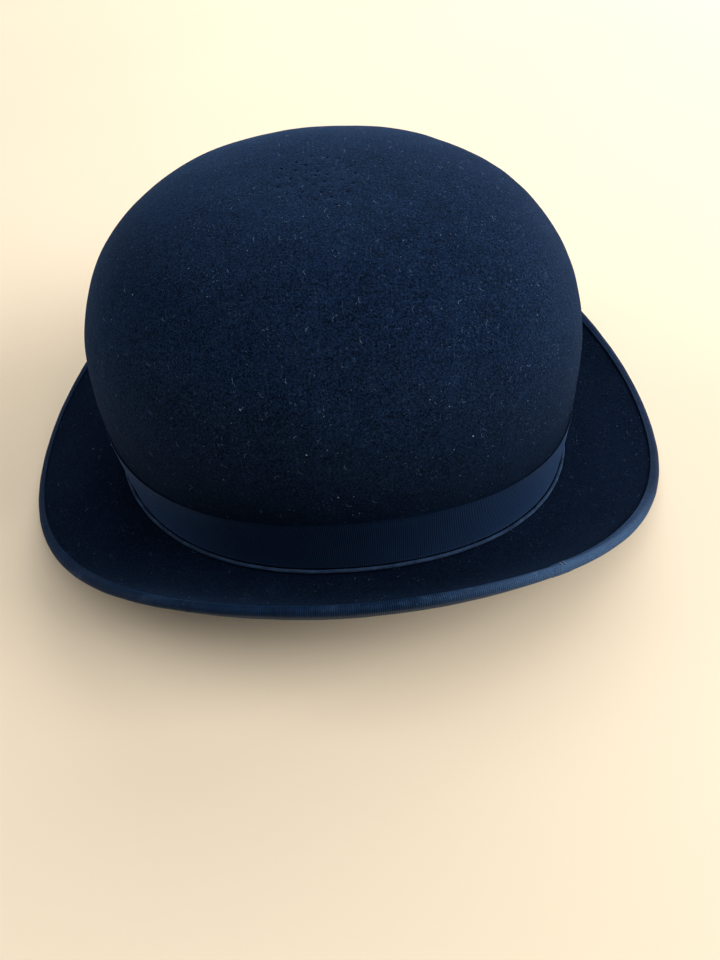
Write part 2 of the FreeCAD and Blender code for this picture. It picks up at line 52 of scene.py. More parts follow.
# ---- camera
PICTURE_HEIGHT = 960          # pixels
FOCAL_PIXELS = 830.0
SENSOR = 36.0
CAMERA_PLACE = (5.1, -259.1, 291.4)
CAMERA_PITCH = math.radians(51.09)
CAMERA_ROLL = math.radians(4.23)


def make_camera():
    """The camera that stands where the photo was taken."""
    data = bpy.data.cameras.new("camera")
    data.sensor_width = SENSOR
    data.lens = FOCAL_PIXELS / PICTURE_HEIGHT * SENSOR
    data.clip_start, data.clip_end = 0.01, 20.0
    camera = bpy.data.objects.new("camera", data)
    bpy.context.scene.collection.objects.link(camera)
    tilt = Matrix.Rotation(math.pi / 2 - CAMERA_PITCH, 4, "X")
    roll = Matrix.Rotation(-CAMERA_ROLL, 4, "Z")
    camera.matrix_world = Matrix.Translation(Vector(CAMERA_PLACE) * MM) @ tilt @ roll
    bpy.context.scene.camera = camera


make_camera()

# ---- sizes shared with the parts
CROWN_HALF_LENGTH, CROWN_HALF_WIDTH = 97.4, 86.4
CROWN_SWELL_LENGTH, CROWN_SWELL_WIDTH = 1.5, 0.8
OVAL_POWER = 2.06
WIDEST_HEIGHT, HAT_HEIGHT = 51.0, 135.0
DOME_SPREAD, DOME_RISE = 2.86, 2.52
CROWN_LEAN = -1.4
CROWN_FELT, BRIM_FELT = 2.2, 2.6
SIDE_JOIN_HEIGHT, FRONT_JOIN_HEIGHT, BACK_JOIN_HEIGHT = 24.5, 5.6, 17.0
JOIN_RADIUS = 2.0
BRIM_HALF_LENGTH, BRIM_HALF_WIDTH = 141.4, 120.4
SIDE_EDGE_HEIGHT, EDGE_SWEEP, EDGE_LIFT = 47.6, 2.69, 0.15
CURL_ANGLE, CURL_SWEEP, DROOP_POWER = math.radians(72), 1.2, 1.4
VENT_RADIUS = 0.45
VENT_MIDDLE = (-2.2, 2.4)
VENT_RINGS = ((0.0, 1), (4.6, 6), (9.2, 11), (13.8, 15))
VENT_TWIST = 2.4
FIT_GAP = 0.15
RIBBON_THICKNESS, RIBBON_TOP, RIBBON_BOTTOM = 0.5, 30.3, 1.5
CORD_RADIUS, CORD_PLACE = 0.75, 1.25
BOW_ANGLE = math.radians(90)
BOW_LENGTH, BOW_HEIGHT, BOW_MIDDLE = 76.0, 25.4, 16.4
BOW_FULLNESS, BOW_PINCH = 1.6, 0.86
KNOT_LENGTH, KNOT_HEIGHT = 12.0, 29.0
BINDING_THICKNESS, BINDING_TOP, BINDING_UNDER, BINDING_CLEAR = 0.6, 1.8, 5.0, 0.35
BINDING_REACH = BRIM_FELT / 2 + FIT_GAP + BINDING_THICKNESS
BINDING_JOIN_ANGLE = math.radians(-53.5)
BINDING_JOIN_LENGTH = 9.0
BACK_ANGLE = math.radians(180)
SEAM_GAP = 0.8
LEATHER_OUT, LEATHER_THICKNESS = -3.6, 1.0
LEATHER_BOTTOM, LEATHER_TOP = 1.8, 44.0
REED_RADIUS, REED_OFFSET, REED_LEVEL = 0.6, -3.9, -0.4
TAPE_THICKNESS, TAPE_LEG_OUT, TAPE_LEG_IN = 0.3, -2.6, -3.0
TAPE_TOP, TAPE_POCKET = 8.0, 1.0
POCKET_START, POCKET_TURN = math.radians(15), math.radians(305)
STITCH_RADIUS, STITCH_LENGTH, STITCH_COUNT, STITCH_LEVEL = 0.22, 3.2, 110, 4.6
STITCH_GAP = 0.05
SEAM_STITCH_RADIUS = 0.14
SEAM_TAPE_WIDTH, SEAM_TAPE_THICKNESS = 9.0, 0.4
SEAM_TAPE_BOTTOM, SEAM_TAPE_TOP = 3.0, 42.0
INNER_BOW_LENGTH, INNER_BOW_HEIGHT, INNER_BOW_LEVEL = 24.0, 7.0, 10.0
INNER_BOW_FULLNESS, INNER_BOW_THICKNESS = 1.0, 0.3
INNER_KNOT_LENGTH, INNER_KNOT_HEIGHT = 5.0, 8.0
TAB_WIDTH, TAB_THICKNESS, TAB_BOTTOM, TAB_TOP = 22.0, 0.25, 32.0, 51.0
LINING_OUT, LINING_THICKNESS, LINING_BOTTOM = -2.65, 0.35, 9.0
LINING_SPLIT, LINING_SPLIT_GAP = 0.50, 0.015
PIPING_RADIUS = 0.7
SMALL_TURN = 0.01
RIB = 0.75                    # from one rib of the ribbon to the next


# ---- the hat's surfaces
def mix(low, high, share):
    return low + (high - low) * share


def smooth(low, high, value):
    """A share from 0 at low to 1 at high, easing in and out."""
    share = np.clip((value - low) / (high - low), 0.0, 1.0)
    return share * share * (3 - 2 * share)


def join3(x, y, z):
    return np.stack(np.broadcast_arrays(x, y, z), -1).astype(float)


def unit(vectors):
    return vectors / np.linalg.norm(vectors, axis=-1, keepdims=True)


def oval_reach(length, width, angle):
    """Distance from the middle to an oval's edge; length and width are half sizes."""
    across = np.abs(np.cos(angle) / length) ** OVAL_POWER
    along = np.abs(np.sin(angle) / width) ** OVAL_POWER
    return (across + along) ** (-1 / OVAL_POWER)


def oval(length, width, angle, height=0.0):
    reach = oval_reach(length, width, angle)
    return join3(reach * np.cos(angle), reach * np.sin(angle), height)


def join_height(angle):
    """Height of the line where crown and brim meet."""
    ends = mix(FRONT_JOIN_HEIGHT, BACK_JOIN_HEIGHT, (1 - np.cos(angle)) / 2)
    return mix(SIDE_JOIN_HEIGHT, ends, np.cos(angle) ** 2)


def edge_height(angle):
    """Height of the middle of the brim's edge."""
    return mix(SIDE_EDGE_HEIGHT, BINDING_REACH + EDGE_LIFT, np.abs(np.cos(angle)) ** EDGE_SWEEP)


def crown_at(angle, height, offset):
    """Point at a height above the floor, outside (+) or inside (-) the crown's outer face."""
    angle, height, offset = np.broadcast_arrays(angle, height, offset)
    base = join_height(angle)
    low = np.clip((height - base) / (WIDEST_HEIGHT - base), 0.0, 1.0)
    swell = np.where(height <= WIDEST_HEIGHT, np.sin(low * math.pi / 2), 1.0)
    rise = np.clip((height - WIDEST_HEIGHT) / (HAT_HEIGHT + offset - WIDEST_HEIGHT), 0.0, 1.0)
    spread = np.cos(np.arcsin(rise ** (DOME_RISE / 2))) ** (2 / DOME_SPREAD)
    length = (CROWN_HALF_LENGTH + CROWN_SWELL_LENGTH * swell + offset) * spread
    width = (CROWN_HALF_WIDTH + CROWN_SWELL_WIDTH * swell + offset) * spread
    point = oval(np.maximum(length, 1e-6), np.maximum(width, 1e-6), angle, height)
    point[..., 0] += CROWN_LEAN * np.maximum(0.0, (height - base) / (HAT_HEIGHT - base))
    return point


def wall_at(angle, level, offset):
    """Point at a level above the line where crown and brim meet."""
    return crown_at(angle, join_height(angle) + level, offset)


def dome_at(angle, arc, offset):
    """Point on the dome: arc is 0 at the crown's widest level and 1 at its tip."""
    rise = np.sin(arc * math.pi / 2) ** (2 / DOME_RISE)
    return crown_at(angle, mix(WIDEST_HEIGHT, HAT_HEIGHT + offset, rise), offset)


def brim_middle(angle, share):
    """Point in the middle of the brim's thickness: share is 0 at the crown and 1 at the edge."""
    angle, share = np.broadcast_arrays(angle, share)
    root = oval(CROWN_HALF_LENGTH + JOIN_RADIUS, CROWN_HALF_WIDTH + JOIN_RADIUS, angle)
    cover = BINDING_REACH + BINDING_CLEAR
    rim = oval(BRIM_HALF_LENGTH - cover, BRIM_HALF_WIDTH - cover, angle)
    curl = np.abs(np.sin(angle)) ** CURL_SWEEP
    out = mix(share, np.sin(CURL_ANGLE * share) / math.sin(CURL_ANGLE), curl)
    rolled = (1 - np.cos(CURL_ANGLE * share)) / (1 - math.cos(CURL_ANGLE))
    up = mix(np.abs(share) ** DROOP_POWER, rolled, curl)
    point = root + (rim - root) * out[..., None]
    point[..., 2] = mix(join_height(angle) - BRIM_FELT / 2, edge_height(angle), up)
    return point


def brim_normal(angle, share):
    """Unit vector square to the brim, towards its upper face."""
    near = brim_middle(angle, np.maximum(0.0, share - SMALL_TURN))
    far = brim_middle(angle, np.minimum(1.0, share + SMALL_TURN))
    along = brim_middle(angle + SMALL_TURN, share) - brim_middle(angle - SMALL_TURN, share)
    return unit(np.cross(far - near, along))


def brim_outward(angle):
    """Unit vector in the brim's plane, pointing out past its edge."""
    along = brim_middle(angle + SMALL_TURN, 1.0) - brim_middle(angle - SMALL_TURN, 1.0)
    return unit(np.cross(along, brim_normal(angle, 1.0)))


def brim_at(angle, share, offset):
    """Point an offset above the middle of the brim's thickness."""
    return brim_middle(angle, share) + brim_normal(angle, share) * np.asarray(offset)[..., None]


def edge_share(angle, width):
    """The brim share that lies a width in from the edge."""
    strip = np.linalg.norm(brim_middle(angle, 1.0) - brim_middle(angle, 1.0 - SMALL_TURN), axis=-1)
    return 1.0 - width * SMALL_TURN / strip


def join_corner(angle, reach, turn):
    """Point on the round corner between crown (turn 0) and brim, a reach from its centre."""
    centre = oval(CROWN_HALF_LENGTH + JOIN_RADIUS, CROWN_HALF_WIDTH + JOIN_RADIUS, angle)
    away = np.asarray(reach * np.cos(turn))[..., None]
    return centre - unit(centre) * away + join3(0, 0, join_height(angle) + JOIN_RADIUS - reach * np.sin(turn))


def outward_at(angle):
    """Level direction square to the crown's wall."""
    ahead = oval(CROWN_HALF_LENGTH, CROWN_HALF_WIDTH, angle + SMALL_TURN)
    behind = oval(CROWN_HALF_LENGTH, CROWN_HALF_WIDTH, angle - SMALL_TURN)
    return unit(np.cross(ahead - behind, (0.0, 0.0, 1.0)))


def angle_span(length, angle):
    """Angle that a length of the crown's wall takes up near one place."""
    return length / oval_reach(CROWN_HALF_LENGTH, CROWN_HALF_WIDTH, angle)


def seam_to_seam(count):
    """Even angles once round the hat, from one side of the back seam to its other side."""
    gap = angle_span(SEAM_GAP, BACK_ANGLE)
    return np.linspace(BACK_ANGLE + gap / 2, BACK_ANGLE + TURN - gap / 2, count)[None, :]


def length_round(level, offset):
    """Length of a line round the crown's wall."""
    return even_steps(lambda a: wall_at(a, level, offset), 0.0, TURN, 1.0)[1]


def ripple(points, size, seed, waves=14):
    """Smooth unevenness from -1 to 1 or so, with bumps about a size across."""
    random = np.random.default_rng(seed)
    directions = unit(random.normal(size=(waves, 3)))
    pitch = TURN / (size * random.uniform(0.7, 1.6, waves))
    phase = random.uniform(0, TURN, waves)
    return np.sin(points @ (directions * pitch[:, None]).T + phase).sum(-1) / math.sqrt(waves)


def running(steps):
    """How far along each place is, from the first, after steps of these lengths."""
    return np.concatenate([[0.0], np.cumsum(steps)])


def even_steps(line, start, span, step, each=1, closed=False):
    """Places at equal steps of length along a line, each cut in some equal parts, and the line's length."""
    fine = np.linspace(start, start + span, 6000)
    run = running(np.linalg.norm(np.diff(line(fine), axis=0), axis=1))
    count = max(2, round(run[-1] / step)) * each
    marks = np.linspace(0.0, run[-1], count + 1)
    return np.interp(marks[:-1] if closed else marks, run, fine), run[-1]


# ---- meshes
def face_out(mesh):
    """Turn a closed mesh's faces so that they all look outwards."""
    shape = bmesh.new()
    shape.from_mesh(mesh)
    bmesh.ops.recalc_face_normals(shape, faces=shape.faces)
    shape.to_mesh(mesh)
    shape.free()


def mesh_piece(name, points, faces, material, replaces=(), slot=None, flat=None):
    """A piece that rides on the hat: points in millimetres; flat is a place on its cloth for each."""
    mesh = bpy.data.meshes.new(name)
    mesh.from_pydata((np.asarray(points).reshape(-1, 3) * MM).tolist(), [], faces)
    mesh.validate()
    face_out(mesh)
    mesh.polygons.foreach_set("use_smooth", [True] * len(mesh.polygons))
    if flat is not None:
        layer = mesh.attributes.new("flat", "FLOAT_VECTOR", "POINT")
        layer.data.foreach_set("vector", (np.asarray(flat, float) * MM).reshape(-1).tolist())
    mesh.materials.append(material)
    piece = bpy.data.objects.new(name, mesh)
    bpy.context.scene.collection.objects.link(piece)
    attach(piece, BODY)
    if replaces:
        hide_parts(*replaces)
    return piece


def grid_faces(rows, columns, closed_rows=False, closed_columns=False):
    """Quads of a grid of points stored row by row."""
    row = np.arange(rows if closed_rows else rows - 1)[:, None]
    column = np.arange(columns if closed_columns else columns - 1)[None, :]
    up, across = (row + 1) % rows, (column + 1) % columns
    corners = (row * columns + column, row * columns + across, up * columns + across, up * columns + column)
    return np.stack(np.broadcast_arrays(*corners), -1).reshape(-1, 4).tolist()


def end_cap(front, back, column, columns, flip):
    """Faces across one end of a sheet whose loop of rows is front rows, then back rows the other way."""
    faces, near, far = [], 0, 0
    total = front + back
    while near < front - 1 or far < back - 1:
        near_first = (near + 1) * (back - 1) <= (far + 1) * (front - 1)
        take_near = far == back - 1 or (near < front - 1 and near_first)
        third = near + 1 if take_near else total - 2 - far
        face = [near, third, total - 1 - far]
        faces.append([row * columns + column for row in (face if flip else reversed(face))])
        near, far = (near + 1, far) if take_near else (near, far + 1)
    return faces


def sheet_mesh(front, back):
    """Points and faces of a closed thin sheet between two grids with equal columns."""
    points = np.concatenate([front, back[::-1]])
    rows, columns = points.shape[:2]
    faces = grid_faces(rows, columns, closed_rows=True)
    faces += end_cap(len(front), len(back), 0, columns, False)
    faces += end_cap(len(front), len(back), columns - 1, columns, True)
    return points.reshape(-1, 3), faces


def cloth_places(run, front, back):
    """Places on the flat cloth of a sheet's points: along it, and across it at its front and back rows."""
    return np.concatenate([join3(run, rows.reshape(-1, 1), 0) for rows in (front, back[::-1])])


def tube_mesh(centres, outward, radius, sides, closed):
    """Round tube along a line of points; radius may change along it."""
    ahead = np.roll(centres, -1, 0) - np.roll(centres, 1, 0)
    if not closed:
        ahead[0], ahead[-1] = centres[1] - centres[0], centres[-1] - centres[-2]
    ahead = unit(ahead)
    side = unit(np.cross(ahead, outward))
    over = np.cross(side, ahead)
    turns = np.linspace(0, TURN, sides, endpoint=False)[:, None, None]
    reach = np.broadcast_to(radius, len(centres))[None, :, None]
    points = centres + reach * (np.cos(turns) * over + np.sin(turns) * side)
    faces = grid_faces(sides, len(centres), True, closed)
    if not closed:
        faces.append([row * len(centres) for row in range(sides)])
        faces.append([row * len(centres) + len(centres) - 1 for row in reversed(range(sides))])
    return points.reshape(-1, 3), faces


def joined(meshes):
    """Points and faces of several meshes as one."""
    points, faces, count = [], [], 0
    for found, corners in meshes:
        points.append(found)
        faces += [[corner + count for corner in face] for face in corners]
        count += len(found)
    return np.concatenate(points), faces


def stitch(middle, along, outward, length, radius):
    """One rounded stitch that rises a little in its middle."""
    shares = np.array([-0.5, -0.46, -0.36, -0.15, 0.15, 0.36, 0.46, 0.5])
    sizes = np.array([0.25, 0.65, 0.95, 1.0, 1.0, 0.95, 0.65, 0.25]) * radius
    centres = middle + shares[:, None] * length * along
    return tube_mesh(centres, outward, sizes, 8, False)


# ---- material nodes
class Nodes:
    """A material, and short ways to add nodes to it."""

    def __init__(self, name):
        self.material = bpy.data.materials.new(name)
        self.material.use_nodes = True
        self.tree = self.material.node_tree
        self.tree.nodes.clear()
        self.shader = self.add("ShaderNodeBsdfPrincipled")
        output = self.add("ShaderNodeOutputMaterial")
        self.link(self.shader.outputs["BSDF"], output.inputs["Surface"])

    def add(self, kind, **settings):
        node = self.tree.nodes.new(kind)
        for key, value in settings.items():
            setattr(node, key, value)
        return node

    def link(self, value, socket):
        if isinstance(value, bpy.types.NodeSocket):
            self.tree.links.new(value, socket)
        else:
            socket.default_value = value

    def set(self, **values):
        """Constant values on the shader's own sockets."""
        self.fill(self.shader, **values)

    def place(self):
        """The point in the hat's frame, in metres."""
        return self.add("ShaderNodeTexCoord").outputs["Object"]

    def flat(self):
        """The place on the flat cloth, in metres: length, then width."""
        return self.add("ShaderNodeAttribute", attribute_name="flat").outputs["Vector"]

    def vector(self, operation, *values):
        """Vector arithmetic, where a dot product or a length gives a number."""
        node = self.add("ShaderNodeVectorMath", operation=operation)
        for value, socket in zip(values, node.inputs):
            self.link(value, socket)
        return node.outputs["Value" if operation in ("DOT_PRODUCT", "LENGTH") else "Vector"]

    def stretched(self, vector, *scale):
        return self.vector("MULTIPLY", vector, scale)

    def parts(self, vector):
        node = self.add("ShaderNodeSeparateXYZ")
        self.link(vector, node.inputs[0])
        return node.outputs

    def math(self, operation, first, second=0.0, third=0.0):
        node = self.add("ShaderNodeMath", operation=operation)
        for value, socket in zip((first, second, third), node.inputs):
            self.link(value, socket)
        return node.outputs[0]

    def plus(self, first, second):
        return self.math("ADD", first, second)

    def times(self, first, second):
        return self.math("MULTIPLY", first, second)

    def fill(self, node, **values):
        """Link or set a node's inputs by name."""
        for key, value in values.items():
            self.link(value, node.inputs[key.replace("_", " ")])
        return node.outputs

    def noise(self, vector, size, detail=3.0, roughness=0.6, distortion=0.0):
        """Noise with features about a size across, in metres."""
        return self.fill(self.add("ShaderNodeTexNoise"), Vector=vector, Scale=1 / size, Detail=detail,
                         Roughness=roughness, Distortion=distortion)["Fac"]

    def cells(self, vector, size, feature="F1"):
        """Random cells about a size across, in metres."""
        return self.fill(self.add("ShaderNodeTexVoronoi", feature=feature), Vector=vector, Scale=1 / size)

    def span(self, value, low, high, to_low=0.0, to_high=1.0):
        """The value's way from low to high, as one from to_low to to_high, held at both ends."""
        return self.fill(self.add("ShaderNodeMapRange"), Value=value, From_Min=low, From_Max=high,
                         To_Min=to_low, To_Max=to_high)["Result"]

    def blend(self, share, first, second):
        """Colour between two colours."""
        node = self.add("ShaderNodeMix", data_type="RGBA")
        self.link(share, node.inputs[0])
        for value, socket in ((first, node.inputs[6]), (second, node.inputs[7])):
            self.link(value if isinstance(value, bpy.types.NodeSocket) else (*value, 1.0), socket)
        return node.outputs[2]

    def bump(self, height, distance, strength=1.0, **under):
        """Bumps a distance high in metres; Normal gives larger bumps below them."""
        node = self.add("ShaderNodeBump")
        return self.fill(node, Height=height, Distance=distance, Strength=strength, **under)["Normal"]

    def finish(self, colour, roughness, normal):
        self.fill(self.shader, Base_Color=colour, Roughness=roughness, Normal=normal)
        return self.material


# ---- materials
FELT_DARK, FELT_LIGHT = (0.0006, 0.0018, 0.0056), (0.0110, 0.0278, 0.0730)
LINT = (0.22, 0.34, 0.52)
BAND_COLOURS = (0.0003, 0.0018, 0.0080), (0.0018, 0.0090, 0.0330)
BINDING_COLOURS = (0.0003, 0.0022, 0.0095), (0.0045, 0.0160, 0.0480)
CORD_COLOURS = (0.006, 0.014, 0.034), (0.036, 0.070, 0.145)
SELVEDGE = (0.0030, 0.0080, 0.0180)
# Pale blue for dust on the ribbons, and for painted highlights on the binding
DUST_AND_HIGHLIGHT = (0.10, 0.20, 0.38)
LIT_AND_RUBBED_ALONG, LIT_AND_RUBBED_ACROSS = (0.020, 0.072), (-0.045, -0.080)  # where a painted highlight from the side light, over some rubbed dust, lies on the binding, in metres
FIBRE_BEND, FIBRE_WAVER = 0.45, 0.0005    # a lint fibre's sag as a share of its reach, its wavering in metres


def lint_fibres(n, place, cell, reach, width, share):
    """Thin curved fibres that lie on the surface, one to a cell in some of the cells."""
    found = n.cells(place, cell)
    normal = n.add("ShaderNodeNewGeometry").outputs["Normal"]
    away = n.vector("SUBTRACT", place, found["Position"])
    any_way = n.vector("SUBTRACT", found["Color"], (0.5, 0.5, 0.5))
    heading = n.vector("NORMALIZE", n.vector("CROSS_PRODUCT", normal, any_way))
    along = n.vector("DOT_PRODUCT", away, heading)
    beside = n.vector("DOT_PRODUCT", away, n.vector("CROSS_PRODUCT", normal, heading))
    bend = n.times(n.times(along, along), FIBRE_BEND / reach)
    wavering = n.span(n.noise(place, 0.0009, 1.0), 0.0, 1.0, -FIBRE_WAVER, FIBRE_WAVER)
    off_line = n.math("ABSOLUTE", n.plus(n.math("SUBTRACT", beside, bend), wavering))
    thin = n.span(off_line, width, 0.3 * width)
    ends = n.span(n.math("ABSOLUTE", along), reach, 0.7 * reach)
    chosen = n.math("LESS_THAN", n.parts(found["Color"])[0], share)
    return n.times(n.times(thin, ends), chosen)


def lint_specks(n, place, cell, radius, chosen):
    """Small round specks, one to a cell in a share of the cells."""
    found = n.cells(place, cell)
    near = n.span(found["Distance"], radius / cell, 0.5 * radius / cell)
    return n.times(near, n.math("LESS_THAN", n.parts(found["Color"])[1], chosen))


BRIM_STARTS = 1.02, 1.045     # shares of the crown's reach between which crown turns into brim
SPECKS = (                    # size of a cell, a speck's radius, share of cells that have one, strength
    (0.0013, 0.00020, 0.35, 0.13),
    (0.0022, 0.00024, 0.40, 0.26),
    (0.0042, 0.00026, 0.40, 0.55),
    (0.0110, 0.00034, 0.55, 1.0),
)


def felt_material():
    """Fur felt: short nap, cloudy colour, some lint that clings to it, and painted shade that darkens it low
    on the crown and on the brim.
    """
    n = Nodes("felt")
    place = n.place()
    nap = n.noise(place, 0.00065, 1.0, 0.8)
    strands = n.noise(n.stretched(place, 1.0, 1.0, 0.35), 0.0016, 4.0, 0.75, 1.2)
    clouds = n.noise(place, 0.014, 3.0)
    mottle = n.noise(place, 0.0030, 3.0, 0.7)
    height = n.parts(place)[2]
    grain = n.plus(n.span(nap, 0.34, 0.68, -0.04, 0.62), n.span(mottle, 0.35, 0.7, 0.0, 0.16))
    grain = n.plus(grain, n.span(clouds, 0.35, 0.7, 0.0, 0.12))
    plan = n.stretched(place, 1 / (CROWN_HALF_LENGTH * MM), 1 / (CROWN_HALF_WIDTH * MM), 0.0)
    reach = n.vector("LENGTH", plan)
    brim, crown = (n.span(reach, *BRIM_STARTS, *ends) for ends in ((0.0, 1.0), (1.0, 0.0)))

    def level(low, high, on_crown, on_brim):
        """A value that rises with the height on the crown, and stays even on the brim."""
        return n.plus(n.times(crown, n.span(height, low, high, *on_crown)), n.times(brim, on_brim))
    # Painted shade: the felt is painted darker low on the crown and on the brim, where less light falls
    painted_shade = level(0.030, 0.105, (0.10, 1.00), 0.34)
    colour = n.blend(n.times(grain, painted_shade), FELT_DARK, FELT_LIGHT)
    hairs = lint_fibres(n, place, 0.0017, 0.0006, 0.00010, 0.40)
    tufts = n.span(n.noise(place, 0.011, 2.0), 0.58, 0.68, 0.0, 0.22)
    lit = n.times(hairs, n.plus(tufts, n.span(height, 0.030, 0.120, 0.03, 0.09)))
    for cell, radius, chosen, strength in SPECKS:
        lit = n.math("MAXIMUM", lit, n.times(lint_specks(n, place, cell, radius, chosen), strength))
    dusty = n.span(n.noise(place, 0.0040, 5.0, 0.8), 0.62, 0.80, 0.0, 0.10)
    fibres = lint_fibres(n, place, 0.0080, 0.0012, 0.00010, 0.14)
    lit = n.math("MAXIMUM", n.math("MAXIMUM", lit, dusty), n.times(fibres, 0.36))
    lit = n.times(lit, n.span(height, 0.020, 0.070, 0.55, 1.0))
    colour = n.blend(lit, colour, LINT)
    bumps = n.plus(n.times(nap, 0.6), strands)
    # The sheen is also turned down low on the crown, as painted shade
    n.fill(n.shader, Sheen_Weight=level(0.035, 0.100, (0.025, 0.135), 0.070))
    n.set(Sheen_Roughness=0.42, Sheen_Tint=(0.23, 0.48, 1.0, 1.0), Specular_IOR_Level=0.010)
    return n.finish(colour, n.span(mottle, 0.3, 0.7, 0.80, 0.95), n.bump(bumps, 0.00024, 0.8))


def grosgrain_material(name, colours, dust_and_highlight=0.08, crest=None, width=None, sheen=0.27, tint=(0.20, 0.44, 1.0),
                       shine=(0.05, 0.55)):
    """Corded ribbon: fine threads over the ribs, grooves painted darker as shade, selvedge lines, and dust
    where its crest is rubbed; on the binding the crest and the side the light falls on also get painted
    highlights.
    """
    n = Nodes(name)
    flat, place = n.flat(), n.place()
    length, across = n.parts(flat)[0], n.parts(flat)[1]
    threads = n.noise(n.stretched(flat, 1.0, 0.3, 1.0), 0.00022, 2.0)
    uneven = n.noise(n.stretched(flat, 1.0, 0.12, 1.0), 0.0011, 2.0)
    clouds = n.noise(place, 0.011, 4.0)
    rib = n.math("ABSOLUTE", n.math("SINE", n.times(length, math.pi / (RIB * MM))))
    # The ribs' grooves are painted darker and their crests lighter: painted shade and highlight
    share = n.plus(n.span(n.plus(uneven, clouds), 0.75, 1.3, 0.0, 0.45), n.times(rib, 0.55))
    colour = n.blend(share, *colours)
    shine = n.span(rib, 0.2, 1.0, *shine)
    if width:
        upper, lower = n.span(across, width - 0.0006, width - 0.0003), n.span(across, 0.0004, 0.0002)
        rim = n.math("MAXIMUM", upper, lower)
        colour = n.blend(n.times(rim, n.span(n.noise(place, 0.004), 0.3, 0.7, 0.35, 0.9)), colour, SELVEDGE)
        flat_rim = n.math("SUBTRACT", 1.0, rim)
        shine, sheen = n.times(shine, flat_rim), n.times(flat_rim, sheen)
    worn_and_lit = n.span(n.cells(place, 0.0048)["Distance"], 0.06, 0.03, 0.0, 0.35)
    haze = n.span(n.noise(place, 0.006, 4.0, 0.7), 0.35, 0.75, 0.0, 0.07)
    if crest:
        x, y, _ = n.parts(place)
        # Painted highlight where the side light falls on the binding's front, mixed with some rubbed dust
        lit_and_rubbed = n.times(n.span(x, *LIT_AND_RUBBED_ALONG), n.span(y, *LIT_AND_RUBBED_ACROSS))
        grit = n.times(n.span(n.noise(place, 0.0007, 3.0, 0.8), 0.36, 0.60, 0.2, 1.0),
                      n.span(rib, 0.2, 1.0, 0.1, 1.0))
        # The crest of the fold is partly rubbed dust and partly a painted highlight
        ridge = n.span(n.math("ABSOLUTE", n.math("SUBTRACT", across, crest)), 0.0038, 0.0010)
        patchy = n.span(n.noise(place, 0.009, 4.0, 0.7), 0.46, 0.66)
        crest_rub_and_highlight = n.times(n.times(ridge, patchy), n.times(grit, n.span(lit_and_rubbed, 0.0, 1.0, 0.35, 1.0)))
        worn_and_lit = n.math("MAXIMUM", worn_and_lit, crest_rub_and_highlight)
        # Rib crests painted a little lighter: painted highlight
        haze = n.plus(n.times(haze, 0.7), n.times(rib, 0.025))
        # Painted highlight haze on the binding's upper face where the light falls
        highlight_haze = n.times(n.span(grit, 0.0, 0.8, 0.14, 0.55), n.span(across, 0.0105, 0.0080))
        haze = n.plus(haze, n.times(lit_and_rubbed, highlight_haze))
    # Dust and painted highlights together, in the pale blue colour
    worn_and_lit = n.math("MAXIMUM", worn_and_lit, haze)
    colour = n.blend(n.times(worn_and_lit, dust_and_highlight), colour, DUST_AND_HIGHLIGHT)
    n.set(Sheen_Roughness=0.40, Sheen_Tint=(*tint, 1.0), Specular_Tint=(0.45, 0.68, 1.0, 1.0))
    n.fill(n.shader, Sheen_Weight=sheen, Specular_IOR_Level=shine)
    return n.finish(colour, n.span(threads, 0.3, 0.7, 0.42, 0.54), n.bump(threads, 0.00005, 0.8))


def cord_material():
    """Twisted cord: loose hairs and dust over its plies."""
    n = Nodes("cord")
    place = n.place()
    hairs = n.noise(place, 0.0004, 3.0, 0.7)
    dusty = n.noise(place, 0.007, 4.0, 0.7)
    colour = n.blend(n.span(n.plus(hairs, dusty), 0.75, 1.25), *CORD_COLOURS)
    n.set(Sheen_Weight=0.08, Sheen_Roughness=0.5, Sheen_Tint=(0.3, 0.6, 1.0, 1.0), Specular_IOR_Level=0.06)
    return n.finish(colour, n.span(hairs, 0.3, 0.7, 0.6, 0.8), n.bump(hairs, 0.00008, 0.7))


def leather_material():
    """Tan sweatband leather: fine grain, darker where it has been handled."""
    n = Nodes("leather")
    place = n.place()
    pebbles = n.cells(place, 0.0009, "DISTANCE_TO_EDGE")["Distance"]
    pores = n.cells(place, 0.0021)["Distance"]
    creases = n.noise(n.stretched(place, 1.0, 1.0, 3.0), 0.004, 4.0, 0.65, 0.8)
    stain = n.noise(place, 0.030, 4.0, 0.6)
    tint = n.plus(n.span(stain, 0.35, 0.65, 0.0, 0.7), n.span(creases, 0.4, 0.7, 0.0, 0.3))
    colour = n.blend(tint, (0.190, 0.088, 0.036), (0.098, 0.042, 0.017))
    colour = n.blend(n.span(pebbles, 0.06, 0.0, 0.0, 0.55), colour, (0.045, 0.018, 0.008))
    colour = n.blend(n.span(pores, 0.10, 0.04, 0.0, 0.5), colour, (0.050, 0.020, 0.009))
    height = n.plus(n.span(pebbles, 0.0, 0.12), n.times(creases, 0.8))
    n.set(Coat_Weight=0.12, Coat_Roughness=0.35, Specular_IOR_Level=0.45)
    return n.finish(colour, n.span(stain, 0.3, 0.7, 0.36, 0.55), n.bump(height, 0.00009, 0.8))


